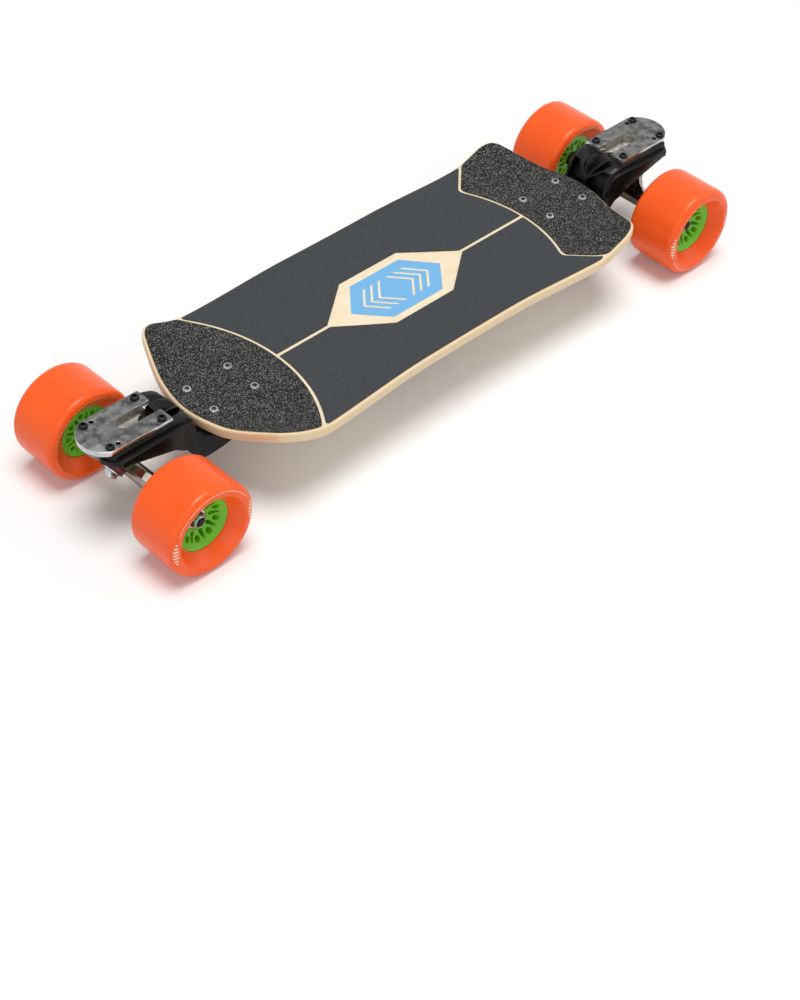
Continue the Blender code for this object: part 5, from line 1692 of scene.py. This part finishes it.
# Trucks
@dataclass
class Truck:
    """One truck: baseplate, kingpin with its bushings and nut, pivot cup, hanger and axle.

    The kingpin's frame has its origin in the middle of the bushing ring, +Z up the kingpin and
    +X along the pivot line.
    """

    end: End
    pivot_angle: float = 50.0
    ring_at: tuple[float, float] = (374.3472 * MM, 70.6438 * MM)
    axle_back: float = 21.0 * MM
    rake: float = 3.2 * MM
    ring_half: float = 4.5 * MM
    ring_radius: float = 19.5 * MM
    tube: float = 9.6 * MM
    tube_end: float = 8.2 * MM
    tube_half: float = 74.6 * MM
    tube_steps: Point = (52.0 * MM, 58.0 * MM)
    chamfer: float = 0.6 * MM
    cup_lip: float = 34.0 * MM
    cup_end: float = 45.5 * MM
    nose: float = 7.0 * MM
    nose_from: float = 24.0 * MM
    nose_gap: float = 1.9 * MM
    seat: float = 3.7 * MM
    boardside: tuple[float, float] = (13.0 * MM, 13.5 * MM)
    roadside: tuple[float, float, float] = (12.8 * MM, 10.4 * MM, 9.0 * MM)
    kingpin: float = 4.8 * MM
    gap: float = 0.3 * MM
    through: float = 20.0 * MM
    bore: float = 8.4 * MM
    pot_gap: float = 0.6 * MM
    pocket: Point = (-9.0 * MM, -2.6 * MM)
    grain: float = 0.55 * MM
    quick_grain: float = 0.8 * MM
    washer: float = 1.6 * MM
    washer_radius: float = 11.0 * MM
    nut_height: float = 5.6 * MM
    head_gap: float = 10.3 * MM
    axle_radius: float = 4.0 * MM
    axle_half: float = 106.4 * MM
    thread_from: float = 98.0 * MM
    plate_low: float = 109.4 * MM
    slot: float = 9.5 * MM
    slot_end: float = 379.0 * MM
    slot_depth: float = 5.9 * MM
    plate_rounding: float = 0.9 * MM

    @property
    def tilt(self) -> Matrix:
        """The matrix from the kingpin's frame to the board's."""
        x, z = self.ring_at
        return (self.end.turn @ shift(x, 0.0, z)
                @ Matrix.Rotation(-math.radians(self.pivot_angle), 4, "Y"))

    @property
    def on_axle(self) -> Matrix:
        """The matrix from a piece turned about Z to the axle, in the kingpin's frame."""
        return (shift(-self.axle_back, 0.0, -self.rake)
                @ Matrix.Rotation(-math.pi / 2, 4, "X"))

    def piece(self, name: str, bm: Shape, slot: str, finishes: Sequence[Finish], node: str,
              steers: bool = False, sharp: float = 35.0, place: Matrix = Matrix()) -> None:
        """Finish a piece that was built in the kingpin's frame.

        Args:
            name: The piece's name, without the end.
            bm: Its shape, used up.
            slot: The record's material slot.
            finishes: Its finishes.
            node: The CAD node it stands for, without the end.
            steers: Whether it turns with the hanger.
            sharp: Edges sharper than this, in degrees, stay sharp.
            place: Its place in the kingpin's frame.
        """
        body = f"{self.end.label}_steering" if steers else "board"
        finished(f"{name}_{self.end.label}", moved(bm, self.tilt @ place), body, slot, finishes,
                 [f"{node}_{self.end.label}"], sharp)

    def casting_outline(self) -> list[Point]:
        """List the hanger casting's outline, counter-clockwise, in the kingpin's frame.

        Returns:
            Its points.
        """
        back = -self.axle_back - 2.0 * MM
        half = [(back, 47.0 * MM), (back + 8.0 * MM, 43.0 * MM), (back + 16.0 * MM, 28.5 * MM),
                (0.0, 22.5 * MM), (19.5 * MM, 15.0 * MM), (31.0 * MM, 7.0 * MM)]
        return [(x, -y) for x, y in half] + half[::-1]

    def tube_body(self) -> Shape:
        """Turn the hanger's tube, thinner towards its ends.

        Returns:
            The tube, in the kingpin's frame.
        """
        tube, end, half, chamfer = self.tube, self.tube_end, self.tube_half, self.chamfer
        inner, outer = self.tube_steps
        profile = [(0.0, -half), (end - chamfer, -half), (end, chamfer - half), (end, -outer),
                   (tube, -inner), (tube, inner), (end, outer), (end, half - chamfer),
                   (end - chamfer, half), (0.0, half)]
        return moved(spun(profile, 48), self.on_axle)

    def nose_body(self) -> Shape:
        """Turn the pivot nose, whose tip is a blunt cone.

        Returns:
            The nose, in the kingpin's frame.
        """
        start, tip, r = self.nose_from, self.cup_end - self.nose_gap, self.nose
        profile = [(0.0, start), (r, start), (r, tip - 5.0 * MM), (r - 1.2 * MM, tip - 2.0 * MM),
                   (3.5 * MM, tip), (0.0, tip)]
        return moved(spun(profile, 40), Matrix.Rotation(math.pi / 2, 4, "Y"))

    def window(self) -> Shape:
        """Make the cutter of the window between the bushing ring and the nose.

        Returns:
            The cutter.
        """
        half = [(18.5 * MM, -5.0 * MM), (21.5 * MM, -6.2 * MM), (28.5 * MM, -3.4 * MM)]
        outline = half + [(29.8 * MM, 0.0)] + [(x, -y) for x, y in reversed(half)]
        return plate(outline, -self.through, self.through)

    def hanger(self) -> Shape:
        """Cast the hanger in one skin: tube, wings, bushing pots, window and pivot nose.

        Returns:
            The casting, in the kingpin's frame.
        """
        half, through, gap = self.ring_half, self.through, self.pot_gap
        whole = combined(plate(self.casting_outline(), -half, half),
                         [rod(self.ring_radius - 2.5 * MM, -half, half, 48)], Meeting.JOIN)
        whole = combined(whole, [plate(self.pocket_outline(), *self.pocket)], Meeting.CUT)
        pot = rod(self.roadside[0] + 2.4 * MM, -half, -1.0 * MM, 48)
        whole = combined(whole, [self.tube_body(), self.nose_body(), pot], Meeting.JOIN)
        whole = combined(whole, [rod(self.bore, -through, through, 40),
                                 rod(self.boardside[0] + gap, self.seat, through, 48),
                                 rod(self.roadside[0] + gap, -through, -self.seat, 48),
                                 self.window()], Meeting.CUT)
        return fused(whole, self.grain, 5)

    def pocket_outline(self) -> list[Point]:
        """List the outline of the sunk field inside the casting's raised triangular rim."""
        half = [(-11.0 * MM, 19.5 * MM), (0.0, 18.3 * MM), (17.5 * MM, 11.5 * MM),
                (27.5 * MM, 5.6 * MM), (30.6 * MM, 0.0)]
        return half + [(x, -y) for x, y in reversed(half[:-1])]

    def bushings(self) -> None:
        """Build the two bushings and the pivot cup."""
        bore = self.kingpin + 0.2 * MM
        wide, tall = self.boardside
        low = self.seat + self.gap
        high = low + tall
        barrel = [(bore, low), (wide - 1.4 * MM, low)]
        barrel += [(wide - 0.55 * MM, low + 0.7 * MM), (wide, low + 4.0 * MM),
                   (wide, high - 4.0 * MM), (wide - 0.55 * MM, high - 0.7 * MM),
                   (wide - 1.4 * MM, high), (bore, high)]
        self.piece("bushing_upper", spun(barrel, 64), "bushing", [BUSHING_RED],
                   "bushing_boardside", sharp=50.0)
        broad, slim, deep = self.roadside
        base = -low
        tip = base - deep
        cone = [(bore, tip), (slim - 0.6 * MM, tip), (slim, tip + 0.6 * MM),
                (broad, base - 1.2 * MM), (broad - 0.2 * MM, base), (bore, base)]
        self.piece("bushing_lower", spun(cone, 64), "bushing", [BUSHING_RED],
                   "bushing_roadside", sharp=50.0)
        outer, inner = self.nose + 1.9 * MM, self.nose + self.gap
        end, lip = self.cup_end, self.cup_lip
        cup = [(0.0, end), (outer - 0.5 * MM, end), (outer, end - 0.5 * MM),
               (outer, lip + 0.4 * MM), (outer - 0.4 * MM, lip), (inner + 0.3 * MM, lip),
               (inner, lip + 0.3 * MM), (inner, end - 5.1 * MM), (3.6 * MM, end - 1.6 * MM),
               (0.0, end - 1.6 * MM)]
        self.piece("pivot_rubber", spun(cup, 48), "cup", [CUP_BLACK], "pivot_cup",
                   place=Matrix.Rotation(math.pi / 2, 4, "Y"))

    def thread(self, radius: float, low: float, high: float, pitch: float) -> list[Point]:
        """List the section of a threaded end, ring by ring.

        Args:
            radius: Radius over the thread.
            low: Height of its tip.
            high: Height where it ends.
            pitch: Distance between its ridges.

        Returns:
            Points of radius and height, from the axis under it to the axis on top.
        """
        root, start = radius - 0.45 * MM, low + 0.4 * MM
        points = [(0.0, low), (radius - 0.9 * MM, low)]
        steps = max(1, round((high - low - 0.4 * MM) / pitch))
        for i in range(steps):
            z = start + i * pitch
            points += [(root, z), (radius, z + pitch * 0.35), (radius, z + pitch * 0.5)]
        return points + [(root, start + steps * pitch), (0.0, high + 1.0 * MM)]

    def kingpin_set(self) -> None:
        """Build the kingpin with its threaded end, and the nut with its cup washer."""
        washer_high = -(self.seat + self.gap) - self.roadside[2] - self.gap
        washer_low = washer_high - self.washer
        nut_low = washer_low - self.nut_height
        head_low = self.seat + self.gap + self.boardside[1] + self.gap + self.head_gap
        shank = spun(self.thread(self.kingpin, nut_low - 1.2 * MM, washer_low, 1.2 * MM), 32)
        upper = rod(self.kingpin, washer_low - 0.5 * MM, head_low + 2.0 * MM, 32)
        head = rounded(rod(8.2 * MM, head_low, head_low + 6.5 * MM, 6), 0.5 * MM, 2)
        self.piece("kingpin_bolt", merged([shank, upper, head]), "steel", [ZINC], "kingpin")
        bore = self.kingpin + 0.15 * MM
        nut = combined(rounded(rod(8.0 * MM, nut_low + 1.0 * MM, washer_low - 0.05 * MM, 6),
                               0.4 * MM, 2),
                       [rod(bore, nut_low - 2 * MM, washer_low + 2 * MM, 32)], Meeting.CUT)
        collar = spun([(bore + 0.2 * MM, nut_low), (6.4 * MM, nut_low),
                       (6.9 * MM, nut_low + 0.5 * MM), (6.9 * MM, nut_low + 1.4 * MM),
                       (bore + 0.2 * MM, nut_low + 1.4 * MM)], 40)
        wide, top = self.washer_radius, washer_low + self.washer
        washer = spun([(bore, washer_low), (wide - 1.3 * MM, washer_low),
                       (wide - 0.3 * MM, washer_low + 0.4 * MM), (wide, washer_low + 1.0 * MM),
                       (wide, top), (wide - 0.5 * MM, top),
                       (wide - 0.9 * MM, washer_low + 1.0 * MM),
                       (bore, washer_low + 0.9 * MM)], 64)
        self.piece("kingpin_washer_and_nut", merged([nut, collar, washer]), "steel", [ZINC],
                   "kingpin_nut")

    def axle(self) -> None:
        """Build the axle with a thread and a washer at each end, its threaded tips painted dark as
        shade.
        """
        half, start = self.axle_half, self.thread_from
        pieces = [rod(self.axle_radius - 0.05 * MM, -start - MM, start + MM, 32)]
        thread = self.thread(self.axle_radius, -half, -start, 0.9 * MM)
        ring = [(4.15 * MM, 74.75 * MM), (6.3 * MM, 74.75 * MM), (6.3 * MM, 75.2 * MM),
                (4.15 * MM, 75.2 * MM)]
        for turn in (math.pi, 0.0):
            turned = Matrix.Rotation(turn, 4, "X")
            # The threaded tips take the dark second finish: painted shade at the middle of each
            # wheel's nut
            tip = painted(spun([*thread[:-1], (0.0, -start)], 28))
            pieces += [moved(tip, turned), moved(spun(ring, 32), turned)]
        self.piece("axle_rod", merged(pieces), "steel", [ZINC, BLACK_OXIDE_AND_SHADE], "axle",
                   steers=True, place=self.on_axle)

    def baseplate(self) -> None:
        """Polish the baseplate's rims on a copy of the CAD casting."""
        bm = rounded(copy_of(f"baseplate_{self.end.label}"), self.plate_rounding, 2, 35.0, rim=1)
        floor = self.plate_low + self.slot_depth
        for face in bm.faces:
            middle = face.calc_center_median()
            side = middle.z > self.plate_low and abs(face.normal.z) < 0.5
            inside = abs(middle.y) < self.slot and abs(middle.x) < self.slot_end
            if inside and middle.z < floor and not face.material_index:
                face.material_index = 2
            elif side:
                face.material_index = 1
        finished(f"plate_casting_{self.end.label}", bm, "board", "aluminium",
                 [PLATE_METAL, PLATE_RIM, RAW_METAL],
                 [f"baseplate_{self.end.label}"], sharp=30.0)

    def build(self) -> None:
        """Build and dress the truck's pieces."""
        self.baseplate()
        self.kingpin_set()
        self.bushings()
        self.piece("hanger_casting", self.hanger(), "casting", [HANGER_METAL], "hanger",
                   steers=True, sharp=180.0)
        self.axle()


# Bracket and bolts
@dataclass
class Bracket:
    """The moulded bracket, its edges rounded as a mould's are."""

    end: End

    def build(self) -> None:
        """Round the edges of a copy of the CAD bracket."""
        bm = rounded(copy_of(f"bracket_{self.end.label}"), 1.0 * MM, 3, 25.0)
        finished(f"bracket_moulding_{self.end.label}", bm, "board", "nylon",
                 [BLACK_NYLON], [f"bracket_{self.end.label}"], sharp=30.0)


@dataclass
class Bolts:
    """The sixteen bolts with their nuts: flat ring heads in the deck, button heads on trucks."""

    half: float = 20.65 * MM
    deck_rows: tuple[tuple[str, float], ...] = (("inner", 219.1 * MM), ("outer", 272.9 * MM))
    truck_rows: tuple[tuple[str, float], ...] = (("inner", 338.3 * MM), ("outer", 401.8 * MM))
    radius: float = 2.35 * MM
    chamfer: float = 0.4 * MM
    nut_radius: float = 4.9 * MM
    nut_height: float = 4.4 * MM
    tail: float = 6.0 * MM
    gap: float = 0.3 * MM
    ring_seat: float = 88.3 * MM
    ring_height: float = 1.9 * MM
    ring_socket: float = 2.8 * MM
    inner_floor: float = 67.19 * MM
    outer_floor: float = 67.05 * MM
    dome_seat: float = 115.5 * MM
    dome_height: float = 3.0 * MM
    dome_rim: float = 0.9 * MM
    dome_radius: float = 4.65 * MM
    dome_socket: float = 2.5 * MM
    ledge: float = 101.9 * MM

    def bolt(self, head: Shape, seat: float, floor: float) -> Shape:
        """Add the shank and the nut to a bolt's head.

        Args:
            head: The head.
            seat: Height of its underside.
            floor: Height of the underside of what the bolt holds.

        Returns:
            The bolt with its nut.
        """
        top, r = floor - self.gap, self.radius
        low, high = top - self.tail, seat + self.gap
        nut = rounded(rod(self.nut_radius, top - self.nut_height, top, 6), 0.3 * MM, 2)
        shank = spun([(0.0, low), (r - self.chamfer, low), (r, low + self.chamfer), (r, high),
                      (0.0, high)], 24)
        return merged([head, nut, shank])

    def deck_bolt(self, row: str) -> Shape:
        """Build a deck bolt with a flat ring head, whose socket is painted dark as shade.

        Args:
            row: The row that it is in, inner or outer.

        Returns:
            The bolt with its nut.
        """
        seat, high = self.ring_seat, self.ring_seat + self.ring_height
        ring = [(0.0, seat), (4.7 * MM, seat), (5.0 * MM, seat + 0.6 * MM),
                (4.8 * MM, seat + 1.2 * MM), (4.1 * MM, high), (0.0, high)]
        socket = rod(self.ring_socket, seat + 0.2 * MM, high + MM, 6)
        head = combined(spun(ring, 40), [socket], Meeting.CUT)
        # The socket's walls and floor take the dark second finish: painted shade in the recess
        for face in head.faces:
            if face.calc_center_median().xy.length < self.ring_socket:
                face.material_index = 1
        return self.bolt(head, seat, self.inner_floor if row == "inner" else self.outer_floor)

    def truck_bolt(self, row: str) -> Shape:
        """Build a truck bolt with a domed head.

        Args:
            row: The row that it is in. Both are alike, so it is not used.

        Returns:
            The bolt with its nut.
        """
        seat, r, rim = self.dome_seat, self.dome_radius, self.dome_seat + self.dome_rim
        high = seat + self.dome_height
        dome = [(0.0, seat), (r - 0.25 * MM, seat), (r, seat + 0.3 * MM)]
        turns = [step * math.pi / 12 for step in range(4)]
        dome += [(r * math.cos(turn), rim + (high - rim) * math.sin(turn)) for turn in turns]
        dome += [(0.0, dome[-1][1])]
        socket = rod(self.dome_socket, rim, high + MM, 6)
        return self.bolt(combined(spun(dome, 40), [socket], Meeting.CUT), seat, self.ledge)

    def place(self, kind: str, rows: Sequence[tuple[str, float]], make: Callable[[str], Shape],
              slot: str, finishes: Sequence[Finish]) -> None:
        """Place a kind of bolt at each end, row and side.

        Args:
            kind: Start of the CAD nodes' names.
            rows: Name and place along the board of each row.
            make: Builds the bolt of a row about Z.
            slot: The record's material slot.
            finishes: Its finishes.
        """
        for end in End:
            for row, along in rows:
                for side in (1, -1):
                    label = f"{kind}_{end.label}_{row}_{end.side_name(side)}"
                    bm = moved(make(row), end.turn @ shift(along, side * self.half))
                    finished(f"{label}_set", bm, "board", slot, finishes, [label])

    def build(self) -> None:
        """Build all sixteen."""
        # On the deck bolts the dark finish is painted shade in the sockets
        self.place("deck_bolt", self.deck_rows, self.deck_bolt, "steel", [WORN_ZINC, BLACK_OXIDE_AND_SHADE])
        self.place("truck_bolt", self.truck_rows, self.truck_bolt, "black_steel", [BLACK_OXIDE_AND_SHADE])


# Stage
@dataclass
class Studio:
    """The plain pale floor, the soft lamps, the white surroundings and the camera."""

    lens: float = 76.5
    sensor: float = 36.0
    eye: tuple[float, float, float] = (-1.2939, -1.2480, 1.4758)
    gaze: tuple[float, float, float] = (0.528, 0.5001, -0.6864)
    upward: tuple[float, float, float] = (0.4599, 0.511, 0.7262)
    floor_half: float = 40.0
    floor_tone: float = 0.9
    floor_glow: float = 0.06
    dimmed: float = 0.27

    def floor(self) -> None:
        """Lay the floor. It is left out for eyes below it, so that the underside shows."""
        bm = bmesh.new()
        bmesh.ops.create_grid(bm, x_segments=1, y_segments=1, size=self.floor_half)
        item = placed("floor", bm)
        made = bpy.data.materials.new("studio_floor_paper")
        made.use_nodes = True
        tree = made.node_tree
        shader = tree.nodes["Principled BSDF"]
        shader.inputs["Base Color"].default_value = (*[self.floor_tone] * 3, 1.0)
        shader.inputs["Roughness"].default_value = 0.9
        shader.inputs["Specular IOR Level"].default_value = 0.1
        eye = add_node(tree, "LightPath").outputs["Is Camera Ray"]
        back = add_node(tree, "NewGeometry").outputs["Backfacing"]
        seen = add_node(tree, "Math", {0: eye, 1: self.floor_glow}, operation="MULTIPLY")
        glow = add_node(tree, "Emission", {
            "Color": (1.0, 1.0, 1.0, 1.0), "Strength": seen.outputs[0]})
        lit = add_node(tree, "AddShader", {0: shader.outputs[0], 1: glow.outputs[0]})
        below = add_node(tree, "Math", {0: eye, 1: back}, operation="MULTIPLY")
        clear = add_node(tree, "BsdfTransparent")
        whole = add_node(tree, "MixShader", {
            0: below.outputs[0], 1: lit.outputs[0], 2: clear.outputs[0]})
        tree.links.new(whole.outputs[0], tree.nodes["Material Output"].inputs["Surface"])
        item.data.materials.append(made)

    def surroundings(self) -> None:
        """Make the world white to the eye and in reflections, and dim as a light."""
        world = bpy.data.worlds.new("studio")
        bpy.context.scene.world = world
        world.use_nodes = True
        tree = world.node_tree
        path = add_node(tree, "LightPath")
        first = add_node(tree, "Math", {
            0: path.outputs["Is Camera Ray"], 1: path.outputs["Is Glossy Ray"]},
            operation="MAXIMUM")
        seen = add_node(tree, "Math", {
            0: first.outputs[0], 1: path.outputs["Is Transmission Ray"]}, operation="MAXIMUM")
        level = add_node(tree, "MapRange", {"Value": seen.outputs[0], "To Min": self.dimmed})
        tree.links.new(level.outputs[0], tree.nodes["Background"].inputs["Strength"])
        tree.nodes["Background"].inputs["Color"].default_value = (1.0, 1.0, 1.0, 1.0)

    def daylight(self, strength: float, spread: float, towards: Sequence[float]) -> None:
        """Add an even soft light from one direction.

        Args:
            strength: Its strength in watts per square metre.
            spread: Its apparent width in degrees.
            towards: The direction from the board to it.
        """
        data = bpy.data.lights.new("key", "SUN")
        data.energy = strength
        data.angle = math.radians(spread)
        turn = Vector(towards).to_track_quat("Z", "Y")
        put("key", data).rotation_euler = turn.to_euler()

    def lamp(self, name: str, size: float, power: float, place: Sequence[float],
             target: Sequence[float] = (0.0, 0.0, 0.08)) -> None:
        """Hang a square lamp that faces a target.

        Args:
            name: Its name.
            size: Its side.
            power: Its power in watts.
            place: Where it hangs.
            target: What it faces.
        """
        data = bpy.data.lights.new(name, "AREA")
        data.size = size
        data.energy = power
        item = put(name, data)
        item.location = place
        item.rotation_euler = (Vector(target) - Vector(place)).to_track_quat("-Z", "Y").to_euler()

    def camera(self) -> None:
        """Set the camera where the photographer stood."""
        data = bpy.data.cameras.new("camera")
        data.sensor_fit = "VERTICAL"
        data.sensor_height = self.sensor
        data.lens = self.lens
        data.clip_end = 100.0
        back = -Vector(self.gaze).normalized()
        right = Vector(self.upward).cross(back).normalized()
        up = back.cross(right)
        turn = Matrix((right, up, back)).transposed().to_4x4()
        item = put("camera", data)
        item.matrix_world = Matrix.Translation(self.eye) @ turn
        bpy.context.scene.camera = item

    def build(self) -> None:
        """Set up the whole studio."""
        self.floor()
        self.surroundings()
        self.daylight(2.2, 34.0, (0.0, -0.06, 1.0))
        self.lamp("fill", 2.0, 14.0, (-2.2, -1.6, 1.6))
        self.lamp("edge", 1.6, 8.0, (1.6, -1.4, 1.4))
        self.camera()
        bpy.context.scene.view_settings.view_transform = "Standard"


def main() -> None:
    """Build the board from the deck outwards, then the studio."""
    logging.basicConfig(level=logging.INFO, format="%(name)s: %(message)s")
    shape = DeckShape()
    Deck(shape).build()
    GripTape(shape).build()
    Bolts().build()
    for end in End:
        Bracket(end).build()
        Truck(end).build()
        for side in (1, -1):
            Wheel(end, side).build()
    Studio().build()


if __name__ == "__main__":
    main()
